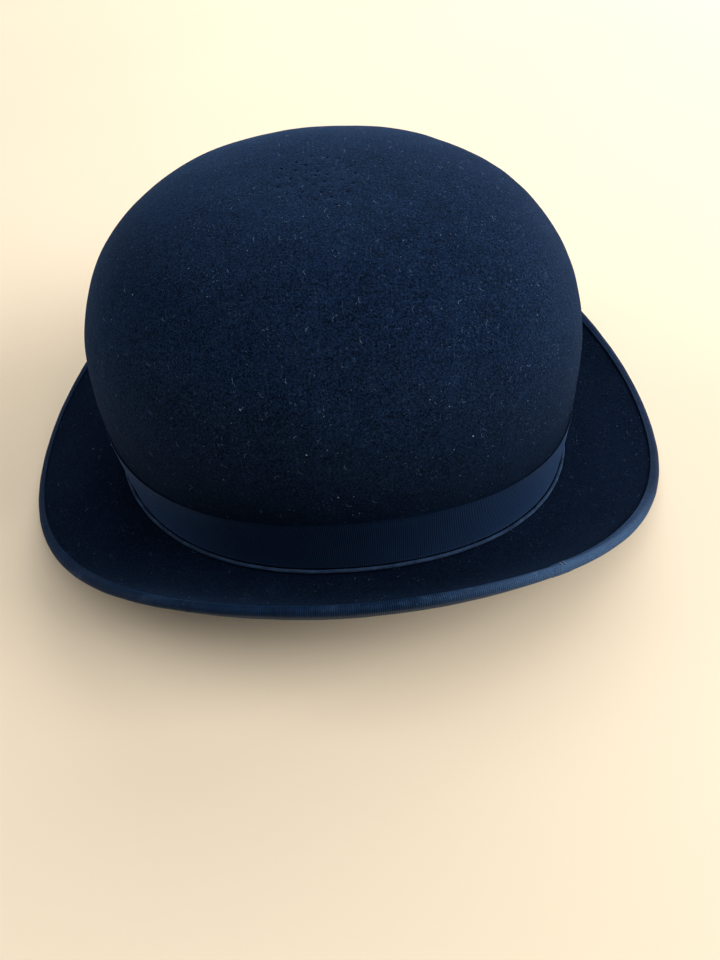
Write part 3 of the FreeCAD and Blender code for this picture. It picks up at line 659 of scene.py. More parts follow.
def woven_material(name, dark, light, thread, roughness=(0.5, 0.65), sheen=0.2, weave=0.8):
    """Plain woven cloth, threads one way and the other along its flat place."""
    n = Nodes(name)
    flat, place = n.flat(), n.place()
    length, across = n.parts(flat)[0], n.parts(flat)[1]
    warp = n.math("SINE", n.times(length, TURN / thread))
    weft = n.math("SINE", n.times(across, TURN / thread))
    cross = n.times(warp, weft)
    slubs = n.noise(n.stretched(flat, 1.0, 0.15, 1.0), 4 * thread, 3.0)
    clouds = n.noise(place, 0.018, 3.0)
    colour = n.blend(n.span(n.plus(slubs, clouds), 0.75, 1.25), dark, light)
    n.set(Sheen_Weight=sheen, Sheen_Roughness=0.4, Specular_IOR_Level=0.4)
    return n.finish(colour, n.span(slubs, 0.3, 0.7, *roughness), n.bump(cross, thread / 6, weave))


def satin_material(name, dark, light):
    """Satin lining: long floats that shine, slightly yellowed and creased."""
    n = Nodes(name)
    flat, place = n.flat(), n.place()
    floats = n.noise(n.stretched(flat, 1.0, 0.08, 1.0), 0.0003, 2.0)
    age = n.noise(place, 0.022, 4.0, 0.6)
    crumple = n.noise(place, 0.009, 3.0, 0.5, 0.6)
    colour = n.blend(n.span(n.plus(age, n.times(floats, 0.4)), 0.5, 0.9), dark, light)
    n.set(Sheen_Weight=0.35, Sheen_Roughness=0.3, Specular_IOR_Level=0.55, Anisotropic=0.5)
    under = n.bump(crumple, 0.0006, 0.35)
    return n.finish(colour, n.span(floats, 0.3, 0.7, 0.26, 0.40), n.bump(floats, 0.00003, 0.6, Normal=under))


def plain_material(name, dark, light, size, roughness=(0.45, 0.6), depth=0.00004, specular=0.4):
    """Thread, cane or card: close streaks of two colours."""
    n = Nodes(name)
    place = n.place()
    streaks = n.noise(place, size, 4.0, 0.7, 0.5)
    clouds = n.noise(place, 12 * size, 3.0)
    colour = n.blend(n.span(n.plus(streaks, clouds), 0.75, 1.25), dark, light)
    n.set(Specular_IOR_Level=specular)
    return n.finish(colour, n.span(streaks, 0.3, 0.7, *roughness), n.bump(streaks, depth, 0.8))


FELT = felt_material()
BAND = grosgrain_material("band_grosgrain", BAND_COLOURS, width=(RIBBON_TOP - RIBBON_BOTTOM) * MM)
BINDING = grosgrain_material("binding_grosgrain", BINDING_COLOURS, 0.8, crest=0.0045, sheen=0.04,
                             tint=(0.12, 0.45, 1.0), shine=(0.0, 0.10))
BOW = grosgrain_material("bow_grosgrain", BAND_COLOURS)
CORD = cord_material()
LEATHER = leather_material()
TAPE = woven_material("tape", (0.012, 0.011, 0.010), (0.030, 0.027, 0.024), 0.00045)
THREAD = plain_material("thread", (0.40, 0.33, 0.22), (0.58, 0.50, 0.36), 0.0003)
SATIN = satin_material("satin", (0.60, 0.50, 0.36), (0.80, 0.73, 0.60))
PIPING = satin_material("piping_satin", (0.48, 0.38, 0.25), (0.70, 0.60, 0.44))
BLUE_THREAD = plain_material("blue_thread", (0.09, 0.14, 0.21), (0.22, 0.30, 0.40), 0.0003)
REED = plain_material("reed", (0.30, 0.20, 0.09), (0.46, 0.34, 0.18), 0.0006)
CARD = plain_material("card", (0.70, 0.64, 0.52), (0.80, 0.75, 0.64), 0.0005, (0.75, 0.9), 0.00003, 0.2)
SEAM_CLOTH = woven_material("seam_cloth", (0.075, 0.032, 0.014), (0.135, 0.062, 0.028), 0.0005)
INNER_RIBBON = woven_material("inner_ribbon", (0.012, 0.012, 0.014), (0.028, 0.028, 0.034), 0.0004,
                              (0.32, 0.42), 0.3)


# ---- felt
COLUMNS = 432                 # points round the hat
TIP_SPREAD = 0.22             # the tip is the dome inside this share of the oval
VENT_SIDES = 10
VENT_STRAY = 1.0              # how far a hole may stand from its place in the ring
VENT_SIZES = 0.65, 1.0        # smallest and largest hole, as shares of the full radius
LIP, CLEAR_OF_VENT = 1.7, 2.6     # a hole's outer ring and the nearest other point, in its radii
DIP, DIP_WIDTH = 0.15, 0.55   # the felt is pressed in round each hole
TIP_STEP, TIP_REACH = 1.15, 24    # spacing of the points between the holes, and half the square they fill
TIP_RINGS = ((0.98, 2), (0.95, 3), (0.91, 4))      # share of the tip's edge, columns between two points
OUTER_ROWS = 1.45, (20, 7, 32)    # step between the dome's rings, and rings of wall, corner and brim
INNER_ROWS = 3.6, (10, 5, 22)
SPACING_ANGLE = 0.8           # the dome's rings stand at even steps here
UNEVEN, UNDER_UNEVEN = 0.22, 0.12     # depth of the felt's unevenness, above and under the brim
EVEN_ROWS = 12                # the unevenness grows over this many rings from the tip
TIP_ARC = math.acos(TIP_SPREAD ** (DOME_SPREAD / 2)) / (math.pi / 2)


def around():
    """One turn round the hat, as one row of angles."""
    return np.linspace(0, TURN, COLUMNS, endpoint=False)[None, :]


def tip_at(plan, offset):
    """Points of the dome over places in its plan, measured from its tip."""
    angle, reach = np.arctan2(plan[:, 1], plan[:, 0]), np.hypot(plan[:, 0], plan[:, 1])
    full = oval_reach(CROWN_HALF_LENGTH + CROWN_SWELL_LENGTH + offset,
                      CROWN_HALF_WIDTH + CROWN_SWELL_WIDTH + offset, angle)
    turn = np.arccos(np.clip(reach / full, 0, 1) ** (DOME_SPREAD / 2))
    return crown_at(angle, mix(WIDEST_HEIGHT, HAT_HEIGHT + offset, np.sin(turn) ** (2 / DOME_RISE)), offset)


def grid_normals(points):
    """Outward normals of rings of points that run down from the tip."""
    down = np.gradient(points, axis=0)
    ahead = np.roll(points, -1, 1) - np.roll(points, 1, 1)
    return unit(np.cross(down, ahead))


def felt_face(crown_depth, brim_depth, step, rows):
    """Rings of a face on dome, wall, corner and brim, at depths below the outer face."""
    a = around()
    arcs, _ = even_steps(lambda arc: dome_at(SPACING_ANGLE, arc, -crown_depth), TIP_ARC, -TIP_ARC, step)
    walls, turns, shares = (np.linspace(0, 1, count)[:, None] for count in rows)
    dome = dome_at(a, arcs[:, None], -crown_depth)
    wall = crown_at(a, mix(WIDEST_HEIGHT, join_height(a) + JOIN_RADIUS, walls[1:]), -crown_depth)
    turns = turns[1:-1]
    corner = join_corner(a, JOIN_RADIUS + mix(crown_depth, brim_depth, turns), turns * math.pi / 2)
    return dome, wall, corner, brim_at(a, shares, BRIM_FELT / 2 - brim_depth + 0 * a), shares


def felt_outside():
    """Rings of the outer face from the edge of the tip to the brim's edge, slightly uneven."""
    dome, wall, corner, brim, shares = felt_face(0.0, 0.0, *OUTER_ROWS)
    points = np.concatenate([dome, wall, corner, brim])
    level = points[..., 2] - join_height(around())
    on_crown = np.zeros(points.shape[:2])
    on_crown[:len(dome) + len(wall)] = 1.0
    depth = on_crown * smooth(RIBBON_TOP + 1, RIBBON_TOP + 14, level)
    depth *= smooth(0, EVEN_ROWS, np.arange(len(points)))[:, None]
    depth[-len(brim):] = smooth(0.12, 0.3, shares) * smooth(0.88, 0.7, shares)
    bumps = ripple(points, 34, 3) * 0.7 + ripple(points, 11, 4) * 0.22
    return points + grid_normals(points) * (UNEVEN * depth * bumps)[..., None]


def felt_inside():
    """Rings of the inner face from the brim's edge back up to the edge of the tip."""
    dome, wall, corner, brim, shares = felt_face(CROWN_FELT, BRIM_FELT, *INNER_ROWS)
    stray = UNDER_UNEVEN * ripple(brim, 16, 5) * smooth(0.85, 0.7, shares)
    brim -= grid_normals(brim) * stray[..., None]
    return np.concatenate([dome[1:], wall, corner, brim])[::-1]


def vent_centres():
    """Middles of the vent holes in the tip's plan."""
    random = np.random.default_rng(8)
    centres = []
    for ring, (radius, count) in enumerate(VENT_RINGS):
        turns = VENT_TWIST * ring + TURN * np.arange(count) / count
        stray = random.uniform(-VENT_STRAY, VENT_STRAY, (count, 2))
        centres.append(radius * np.stack([np.cos(turns), np.sin(turns)], -1) + stray)
    return np.concatenate(centres) + np.array(VENT_MIDDLE) - (CROWN_LEAN, 0.0)


def edge_part(places, edge):
    """How far out each place lies, as a share of the way to the tip's edge."""
    turns = np.arctan2(places[:, 1], places[:, 0]) / TURN * COLUMNS
    return np.hypot(*places.T) / np.hypot(*edge.T)[np.round(turns).astype(int) % COLUMNS]


def tip_plan(edge):
    """Places and triangles of the tip's plan, with its vent holes left open, inside an edge of places."""
    centres = vent_centres()
    turns = np.linspace(0, TURN, VENT_SIDES, endpoint=False)
    circle = np.stack([np.cos(turns), np.sin(turns)], -1)
    sizes = np.random.default_rng(9).uniform(*VENT_SIZES, (len(centres), 1, 1))
    holes = (centres[:, None] + VENT_RADIUS * sizes * circle).reshape(-1, 2)
    lips = (centres[:, None] + LIP * VENT_RADIUS * circle).reshape(-1, 2)
    span = np.arange(-TIP_REACH, TIP_REACH, TIP_STEP)
    x, y = np.meshgrid(span, span * 0.9)
    fill = np.stack([x + (np.arange(len(span)) % 2)[:, None] * TIP_STEP / 2, y], -1).reshape(-1, 2)
    near = np.hypot(*(fill[:, None] - centres[None]).transpose(2, 0, 1)).min(1)
    fill = fill[(edge_part(fill, edge) < TIP_RINGS[-1][0] - 0.04) & (near > CLEAR_OF_VENT * VENT_RADIUS)]
    between = [edge[::step] * part for part, step in TIP_RINGS]
    places = np.concatenate([edge, holes, lips, *between, fill])
    rings = [np.arange(COLUMNS)]
    rings += [COLUMNS + VENT_SIDES * hole + np.arange(VENT_SIDES) for hole in range(len(centres))]
    edges = [(int(a), int(b)) for ring in rings for a, b in zip(ring, np.roll(ring, -1))]
    found = delaunay_2d_cdt([Vector(p) for p in places], edges, [], 0, 1e-7)
    order = [source[0] for source in found[3]]
    hole_of = np.full(len(places), -1)
    for hole, ring in enumerate(rings[1:]):
        hole_of[ring] = hole
    triangles = []
    for face in found[2]:
        corners = [order[corner] for corner in face]
        owners = set(hole_of[corners])
        if len(owners) > 1 or -1 in owners:
            triangles.append(corners)
    return places, triangles, rings[1:], near_vents(places, centres)


def near_vents(places, centres):
    """How close each place is to a vent hole, from 0 to 1 at its rim."""
    away = np.hypot(*(places[:, None] - centres[None]).transpose(2, 0, 1)).min(1)
    return np.exp(-((np.maximum(away - VENT_RADIUS, 0) / DIP_WIDTH) ** 2))


def make_felt():
    """One closed skin: rings from the tip's edge out over the brim and back inside, and two pricked tips."""
    outside = felt_outside()
    rings = np.concatenate([outside, felt_inside()])
    lean = np.array([CROWN_LEAN, 0.0])
    edge = outside[0][:, :2] - lean
    places, triangles, vents, close = tip_plan(edge)
    top = tip_at(places, 0.0)
    top[:, 2] -= DIP * close
    top[:, 2] += UNEVEN * 0.3 * ripple(top, 9, 6) * smooth(0.97, 0.6, edge_part(places, edge))
    top[:COLUMNS] = outside[0]
    under = tip_at(places, -CROWN_FELT)
    rings[-1] = under[:COLUMNS]
    faces = grid_faces(len(rings), COLUMNS, closed_columns=True)
    columns, rest = np.arange(COLUMNS), np.arange(len(places) - COLUMNS)
    count = len(rings) * COLUMNS
    top_at = np.concatenate([columns, count + rest])
    under_at = np.concatenate([count - COLUMNS + columns, count + len(rest) + rest])
    for triangle in triangles:
        faces.append([int(top_at[corner]) for corner in triangle])
        faces.append([int(under_at[corner]) for corner in reversed(triangle)])
    for ring in vents:
        for a, b in zip(ring, np.roll(ring, -1)):
            faces.append([int(top_at[b]), int(top_at[a]), int(under_at[a]), int(under_at[b])])
    points = np.concatenate([rings.reshape(-1, 3), top[COLUMNS:], under[COLUMNS:]])
    return mesh_piece("felt_hood", points, faces, FELT, ["felt_body"], "felt")


# ---- ribbed ribbon
RIB_STEPS = 5                 # columns in one rib
SELVEDGE_PLACES = (0.0, 0.25, 0.8, 1.05, 1.3)     # in widths of the selvedge, from the ribbon's edge
SELVEDGE_DEPTHS = (0.36, 0.14, 0.02, 0.10, 0.04)
RIB_DEPTH = 0.12
SUNK_RIB = 0.2                # share of their depth that ribs keep on the selvedge
BAND_WAVER, BAND_SCALLOP, BAND_LIFT = 0.10, 0.12, 0.05    # of the upper edge: up, down at grooves, outwards
UPPER_EDGE = 20, 28           # levels on the ribbon between which it grows free to waver


def ribs(count):
    """Depth of the groove below the ribs' crests at each column, from 0 to 1."""
    share = (np.arange(count) % RIB_STEPS) / RIB_STEPS
    return 1 - np.sqrt(np.clip(1 - (2 * share - 1) ** 2, 0, 1))


def rib_run(count, steps):
    """Place along the cloth of each column, one rib's length apart every few steps."""
    return (np.arange(count) * RIB / steps)[None, :]


def ribbon_profile(width, selvedge=0.8):
    """Places across a ribbon from one edge to the other, and how far its face lies below its crests there."""
    body = np.linspace(2.6 * selvedge, width - 2.6 * selvedge, 4)
    places = np.array(SELVEDGE_PLACES) * selvedge
    across = np.concatenate([places, body, width - places[::-1]])
    return across, np.concatenate([SELVEDGE_DEPTHS, np.full(4, SELVEDGE_DEPTHS[-1]), SELVEDGE_DEPTHS[::-1]])


def make_band():
    """The ribbon round the crown; its ends meet under the bow."""
    gap = angle_span(SEAM_GAP, BOW_ANGLE)
    angles, length = even_steps(lambda a: wall_at(a, BOW_MIDDLE, RIBBON_THICKNESS), BOW_ANGLE + gap / 2,
                                TURN - gap, RIB, RIB_STEPS)
    groove = ribs(len(angles))[None, :]
    across, low = ribbon_profile(RIBBON_TOP - RIBBON_BOTTOM)
    a = angles[None, :]
    line = wall_at(a, BOW_MIDDLE, 0.0)
    rise = (BAND_WAVER * ripple(line, 26, 11) - BAND_SCALLOP * groove) * smooth(*UPPER_EDGE, across)[:, None]
    depth = RIB_DEPTH * groove * np.where(low[:, None] > 0.1, SUNK_RIB, 1.0) + low[:, None]
    lift = BAND_LIFT * (1 + ripple(line, 40, 12)) * smooth(24, 28, across)[:, None]
    front = wall_at(a, RIBBON_BOTTOM + across[:, None] + rise, FIT_GAP + RIBBON_THICKNESS - depth + lift)
    backs = np.linspace(0, across[-1], 4)
    behind = FIT_GAP + 0.5 * lift[-1:] * smooth(*UPPER_EDGE, backs)[:, None]
    back = wall_at(a, RIBBON_BOTTOM + backs[:, None], behind)
    flat = cloth_places(rib_run(len(angles), RIB_STEPS), across, backs)
    band = mesh_piece("ribbon_band", *sheet_mesh(front, back), BAND, ["crown_band"], "grosgrain", flat)


# ---- twisted cord round the ribbon's foot
PLIES = 4
PLY_RADIUS = 0.35
CORD_PITCH = 3.6
CORD_SET = 0.3                # the cord settles this much out and down into its corner
CORD_STEPS = 10               # points in one turn of the twist
CORD_STRAY = 0.05


def make_cord():
    """Twisted plies in the corner between ribbon and brim."""
    def centre(angle):
        return wall_at(angle, CORD_PLACE - CORD_SET, CORD_PLACE + CORD_SET)
    angles, _ = even_steps(centre, 0.0, TURN, CORD_PITCH, CORD_STEPS, closed=True)
    middle, outward = centre(angles), outward_at(angles)
    middle += outward * (CORD_STRAY * ripple(middle, 9, 21))[:, None]
    strands = []
    for ply in range(PLIES):
        turn = TURN * (np.arange(len(angles)) / CORD_STEPS + ply / PLIES)
        off = outward * np.cos(turn)[:, None] + np.array([0, 0, 1]) * np.sin(turn)[:, None]
        strands.append(tube_mesh(middle + off * (CORD_RADIUS - PLY_RADIUS), outward, PLY_RADIUS, 7, True))
    mesh_piece("twisted_cord", *joined(strands), CORD, ["band_cord"], "cord")


# ---- brim binding
BINDING_FOLD = 9              # rows round the fold
BINDING_STEPS = RIB_STEPS - 1     # columns in one rib
BINDING_TOP_ROWS = (0.0, 0.06, 0.2, 0.3, 0.65, 1.0)       # shares of the way from the edge to the fold
BINDING_UNDER_ROWS = (0.0, 0.06, 0.2, 0.3, 0.7, 1.0)
BINDING_LOW = np.array([0.22, 0.04, 0.0, 0.07, 0.0, 0.0])     # how far the face lies back at those rows
BINDING_SWELL = 0.05
BINDING_GROOVE, OVERLAP_GROOVE = 0.09, 0.06
OVERLAP_TAPER, TAPER_LENGTH = 0.12, 2.2
OVERLAP_GAP, OVERLAP_THICKNESS = 0.04, 0.17
JOIN_STITCHES = (-0.7, 0.75)  # how far each stitch stands from the middle of the overlap
JOIN_STITCH_TURN = math.radians(42)
JOIN_STITCH_LENGTH, JOIN_STITCH_RADIUS, JOIN_STITCH_LIFT = 1.8, 0.14, 0.10


def binding_rows(angles, height, top, under, fold_steps):
    """Rows of the binding from its edge on the brim's upper face, round the fold, to its edge below."""
    a = angles[None, :]
    height = np.broadcast_to(height, (len(top) + fold_steps + len(under), len(angles)))
    upper = brim_at(a, mix(edge_share(a, BINDING_TOP), 1.0, np.array(top)[:, None]), height[:len(top)])
    inward = mix(edge_share(a, BINDING_UNDER), 1.0, np.array(under)[::-1, None])
    lower = brim_at(a, inward, -height[-len(under):])
    turns = (math.pi * (0.5 - np.arange(1, fold_steps + 1) / (fold_steps + 1)))[:, None, None]
    outward, normal = brim_outward(a), brim_normal(a, 1.0)
    middle = brim_middle(a, 1.0) + outward * BINDING_CLEAR
    reach = height[len(top):len(top) + fold_steps, :, None]
    fold = middle + reach * (outward * np.cos(turns) + normal * np.sin(turns))
    return np.concatenate([upper, fold, lower])


def across_rows(rows):
    """Mean distance of each row from the first, along the cloth."""
    return running(np.linalg.norm(np.diff(rows, axis=0), axis=-1).mean(1))


def binding_sheet(name, start, turn, outer, thickness, depth, node, taper=0.0):
    """Ribbed ribbon folded over the brim's edge; depth is that of its grooves, taper thins its two ends."""
    angles, length = even_steps(lambda a: brim_middle(a, 1.0), start, turn, RIB, BINDING_STEPS)
    groove = 1 - np.sin(math.pi * ((np.arange(len(angles)) % BINDING_STEPS) / BINDING_STEPS))[None, :]
    low = np.concatenate([BINDING_LOW, np.zeros(BINDING_FOLD), BINDING_LOW[::-1]])[:, None]
    run = rib_run(len(angles), BINDING_STEPS)
    ends = taper * (1 - smooth(0.0, TAPER_LENGTH, np.minimum(run, run[0, -1] - run)))
    swell = BINDING_SWELL * ripple(brim_middle(angles, 1.0), 14, 31) * (1 - low / BINDING_LOW[0])
    height = outer - low * (1 - ends) - ends - depth * groove - BINDING_SWELL + swell
    front = binding_rows(angles, height, BINDING_TOP_ROWS, BINDING_UNDER_ROWS, BINDING_FOLD)
    back = binding_rows(angles, outer - thickness, (0.0, 1.0), (0.0, 1.0), 3)
    wide = across_rows(front)
    flat = cloth_places(run, wide, across_rows(back))
    return mesh_piece(name, *sheet_mesh(front, back), BINDING, [node], "binding", flat), length, wide[-1]


def make_join_stitches(reach):
    """Two short stitches over the overlap, on the outer side of the fold."""
    stitches = []
    for angle in BINDING_JOIN_ANGLE + np.array(JOIN_STITCHES) / BRIM_HALF_WIDTH:
        outward, normal = brim_outward(angle), brim_normal(angle, 1.0)
        away = outward * math.cos(JOIN_STITCH_TURN) + normal * math.sin(JOIN_STITCH_TURN)
        along = normal * math.cos(JOIN_STITCH_TURN) - outward * math.sin(JOIN_STITCH_TURN)
        middle = brim_middle(angle, 1.0) + outward * BINDING_CLEAR + away * (reach + JOIN_STITCH_LIFT)
        stitches.append(stitch(middle, along, away, JOIN_STITCH_LENGTH, JOIN_STITCH_RADIUS))
    return mesh_piece("bound_edge_stitches", *joined(stitches), BLUE_THREAD, (), "thread")


def make_binding():
    """The binding round the brim, and its overlapping end."""
    gap = angle_span(SEAM_GAP, BINDING_JOIN_ANGLE)
    binding, length, width = binding_sheet("bound_edge", BINDING_JOIN_ANGLE + gap / 2, TURN - gap,
                                           BINDING_REACH, BINDING_THICKNESS, BINDING_GROOVE, "brim_binding")
    turn = BINDING_JOIN_LENGTH / oval_reach(BRIM_HALF_LENGTH, BRIM_HALF_WIDTH, BINDING_JOIN_ANGLE)
    outer = BINDING_REACH + OVERLAP_GAP + OVERLAP_THICKNESS
    join, _, _ = binding_sheet("bound_edge_join", BINDING_JOIN_ANGLE - turn / 2, turn, outer,
                               OVERLAP_THICKNESS, OVERLAP_GROOVE, "binding_join", OVERLAP_TAPER)
    make_join_stitches(outer)


# ---- ribbons along flat paths
FOLD_STEPS = 16


def along_path(path, pitch, steps):
    """Even places along a flat path, the direction square to it at each, and its length."""
    path = np.array(path)
    run = running(np.hypot(*np.diff(path, axis=0).T))
    marks = np.linspace(0.0, run[-1], round(run[-1] / pitch) * steps + 1)
    places = np.stack([np.interp(marks, run, path[:, axis]) for axis in (0, 1)], -1)
    ahead = unit(np.gradient(places, axis=0))
    return places, np.stack([-ahead[:, 1], ahead[:, 0]], -1), run[-1]


def ribbon_piece(name, path, width, thickness, place, material, node, slot, pitch=RIB, depth=RIB_DEPTH):
    """Ribbed ribbon along a flat path; place(u, v, crossing) gives its points, with crossing from -1 to 1."""
    places, square, length = along_path(path, pitch, RIB_STEPS)
    across, low = ribbon_profile(width, min(0.8, width / 10))
    groove = ribs(len(places))[None, :] * np.where(low[:, None] > 0.1, SUNK_RIB, 1.0)
    reach = thickness / 2 - depth * groove - low[:, None] * thickness
    crossing = (2 * across / width - 1)[:, None]
    (x, y), (off_x, off_y) = places.T, square.T
    grids = [place(x + side * reach * off_x, y + side * reach * off_y, crossing) for side in (1, -1)]
    flat = cloth_places(rib_run(len(places), RIB_STEPS), across, across)
    return mesh_piece(name, *sheet_mesh(*grids), material, [node], slot, flat), length


def half_round(x, y, radius, start):
    """Points of a half circle in a flat path, its two ends left out."""
    turns = start + math.pi * np.arange(1, FOLD_STEPS) / FOLD_STEPS
    return list(zip(x + radius * np.cos(turns), y + radius * np.sin(turns)))


def loop_path(near, far, back, fullness):
    """Out along a loop's back, round its fold and home along its front."""
    radius = fullness / 2
    fold = half_round(far - radius, back + radius, radius, -math.pi / 2)
    front = back + fullness
    return [(near, back), (far - radius, back), *fold, (far - radius, front), (near, front)]


def wrap_path(height, back, front):
    """Round a bow from the middle of its back and home again."""
    radius = (front - back) / 2
    fold = half_round(height / 2 - radius, back + radius, radius, -math.pi / 2)
    upper = [(SEAM_GAP / 2, back), (height / 2 - radius, back), *fold, (height / 2 - radius, front),
             (SEAM_GAP / 2, front)]
    return upper + [(-x, y) for x, y in reversed(upper)]


# ---- bow on the wearer's left
LOOP_BULGE = 0.8              # extra fullness of a loop's front half way along
LOOP_PLEAT = 0.5              # depth of the pleats that run out from the knot
BOW_TURN = angle_span(1.0, BOW_ANGLE)     # angle that a millimetre of ribbon takes up


def bow_layer(layer):
    """Middle of each layer under the bow: 0 is the back of the knot, 1 the base, 2 the loops' backs."""
    over_band = FIT_GAP + RIBBON_THICKNESS
    return over_band + (layer + 0.5) * (FIT_GAP + RIBBON_THICKNESS) + FIT_GAP / 2


def make_bow_loop(name, direction, node):
    """One loop, towards the front (1) or the back (-1); it stands fullest half way along."""
    back = bow_layer(2)

    def place(length, offset, crossing):
        share = np.clip(2 * length / BOW_LENGTH, 0, 1)
        level = BOW_MIDDLE + crossing * BOW_HEIGHT / 2 * mix(BOW_PINCH, 1.0, np.sqrt(share))
        front = smooth(0.3, 0.8, (offset - back) / BOW_FULLNESS)
        bulge = LOOP_BULGE * smooth(0.17, 0.55, share) * smooth(1.0, 0.8, share) * (1 - 0.45 * crossing ** 2)
        pleat = np.exp(-((np.abs(crossing + 0.08 * direction) - 0.38) / 0.15) ** 2)
        pleat = LOOP_PLEAT * pleat * smooth(0.62, 0.12, share)
        round_off = 0.5 * crossing ** 6 * smooth(0.8, 1.0, share)
        angle = BOW_ANGLE - direction * (length - round_off) * BOW_TURN
        return wall_at(angle, level, offset + front * (bulge - pleat))
    piece, length = ribbon_piece(name, loop_path(FIT_GAP, BOW_LENGTH / 2, back, BOW_FULLNESS), BOW_HEIGHT,
                                 RIBBON_THICKNESS, place, BOW, node, "grosgrain")


def make_bow_base():
    """Flat ribbon behind the loops."""
    length = BOW_LENGTH - KNOT_LENGTH / 2

    def place(along, offset, crossing):
        return wall_at(BOW_ANGLE - along * BOW_TURN, BOW_MIDDLE + crossing * BOW_HEIGHT / 2, offset)
    path = [(-length / 2, bow_layer(1)), (length / 2, bow_layer(1))]
    piece, _ = ribbon_piece("bow_backing", path, BOW_HEIGHT, RIBBON_THICKNESS, place, BOW, "bow_base",
                            "grosgrain")


def make_bow_knot():
    """Ribbon wrapped round the middle, with a waist and two soft folds."""
    back = bow_layer(0)
    front = bow_layer(2) + BOW_FULLNESS + RIBBON_THICKNESS + FIT_GAP

    def place(level, offset, crossing):
        shown = smooth(0.3, 0.8, (offset - back) / (front - back))
        swell = 0.35 * (1 - crossing ** 2) + 0.16 * (0.5 + 0.5 * np.cos(4 * math.pi * crossing))
        waist = 1 - 0.07 * shown * (1 - (2 * level / KNOT_HEIGHT) ** 2)
        angle = BOW_ANGLE + crossing * KNOT_LENGTH / 2 * BOW_TURN * waist
        return wall_at(angle, BOW_MIDDLE + level, offset + shown * swell)
    piece, length = ribbon_piece("bow_wrap", wrap_path(KNOT_HEIGHT, back, front), KNOT_LENGTH,
                                 RIBBON_THICKNESS, place, BOW, "bow_knot", "grosgrain")


# ---- sweatband
LEATHER_COLUMNS = 420
LEATHER_LEAN = 1.3            # the leather's top leans in by this much
LEATHER_WAVE = 0.5
LEATHER_ROUND, LEATHER_RIM = 0.34, 0.4    # how far a face falls back at an edge, and over what width
LEATHER_BUMPS = 0.05
PRESSED = (6.4, 41.6)         # levels of the lines pressed into the leather
PRESSED_DEPTH, PRESSED_WIDTH = 0.14, 0.28
STITCH_STRAY = 0.08
SEAM_STITCH_LENGTH, SEAM_STITCH_PITCH, SEAM_STITCH_INSET = 1.8, 2.6, 1.1
SEAM_TAPE_PLACES = (0.0, 0.25, 0.8, 1.1, 1.4, 3.0, 4.5, 6.0, 7.6, 7.9, 8.2, 8.75, 9.0)     # across it
SEAM_TAPE_LOW = (0.16, 0.03, 0.04, 0.10, 0.04, 0.0, 0.02, 0.0, 0.04, 0.10, 0.04, 0.03, 0.16)
LEATHER_FACE = LEATHER_OUT - LEATHER_THICKNESS
INNER_RIB, INNER_RIB_DEPTH = 0.5, 0.05
POCKET_STEPS, TAPE_STEP = 24, 0.28    # steps round the reed's pocket, and from row to row of its tape
TAB_LEAN = 0.55               # share of the leather's lean that the tab takes up


def leather_shift(angle, level):
    """How far the leather stands off its plain place, inwards being negative."""
    tall = np.clip((level - 14) / (LEATHER_TOP - 14), 0, 1) ** 1.5
    wave = ripple(oval(CROWN_HALF_LENGTH, CROWN_HALF_WIDTH, angle), 70, 41)
    return -tall * (LEATHER_LEAN + LEATHER_WAVE * wave)


def on_leather(angle, level, offset):
    return wall_at(angle, level, offset + leather_shift(angle, level))


def leather_round(levels):
    """How far the leather's faces fall back near its two edges."""
    rim = np.minimum(levels - LEATHER_BOTTOM, LEATHER_TOP - levels)
    return LEATHER_ROUND * (1 - np.clip(rim / LEATHER_RIM, 0, 1)) ** 2


def make_leather():
    """The leather, with rounded edges and two pressed lines."""
    angles = seam_to_seam(LEATHER_COLUMNS)
    body = np.linspace(8.5, 39.5, 12)
    ends = np.array([0.0, 0.12, 0.4, 0.9])
    lines = np.concatenate([level + np.array([-0.7, -0.3, 0.0, 0.3, 0.7]) for level in PRESSED])
    levels = np.sort(np.concatenate([LEATHER_BOTTOM + ends, LEATHER_TOP - ends, body, lines]))[:, None]
    low = leather_round(levels)
    for level in PRESSED:
        low = low + PRESSED_DEPTH * np.exp(-((levels - level) / PRESSED_WIDTH) ** 2)
    bumps = LEATHER_BUMPS * (1 + ripple(wall_at(angles, levels, 0.0), 9, 42))
    front = on_leather(angles, levels, LEATHER_FACE + low + bumps)
    backs = np.linspace(LEATHER_BOTTOM, LEATHER_TOP, 12)[:, None]
    back = on_leather(angles, backs, LEATHER_OUT - leather_round(backs))
    return mesh_piece("sweat_leather", *sheet_mesh(back, front), LEATHER, ["sweatband"], "sweat_leather")


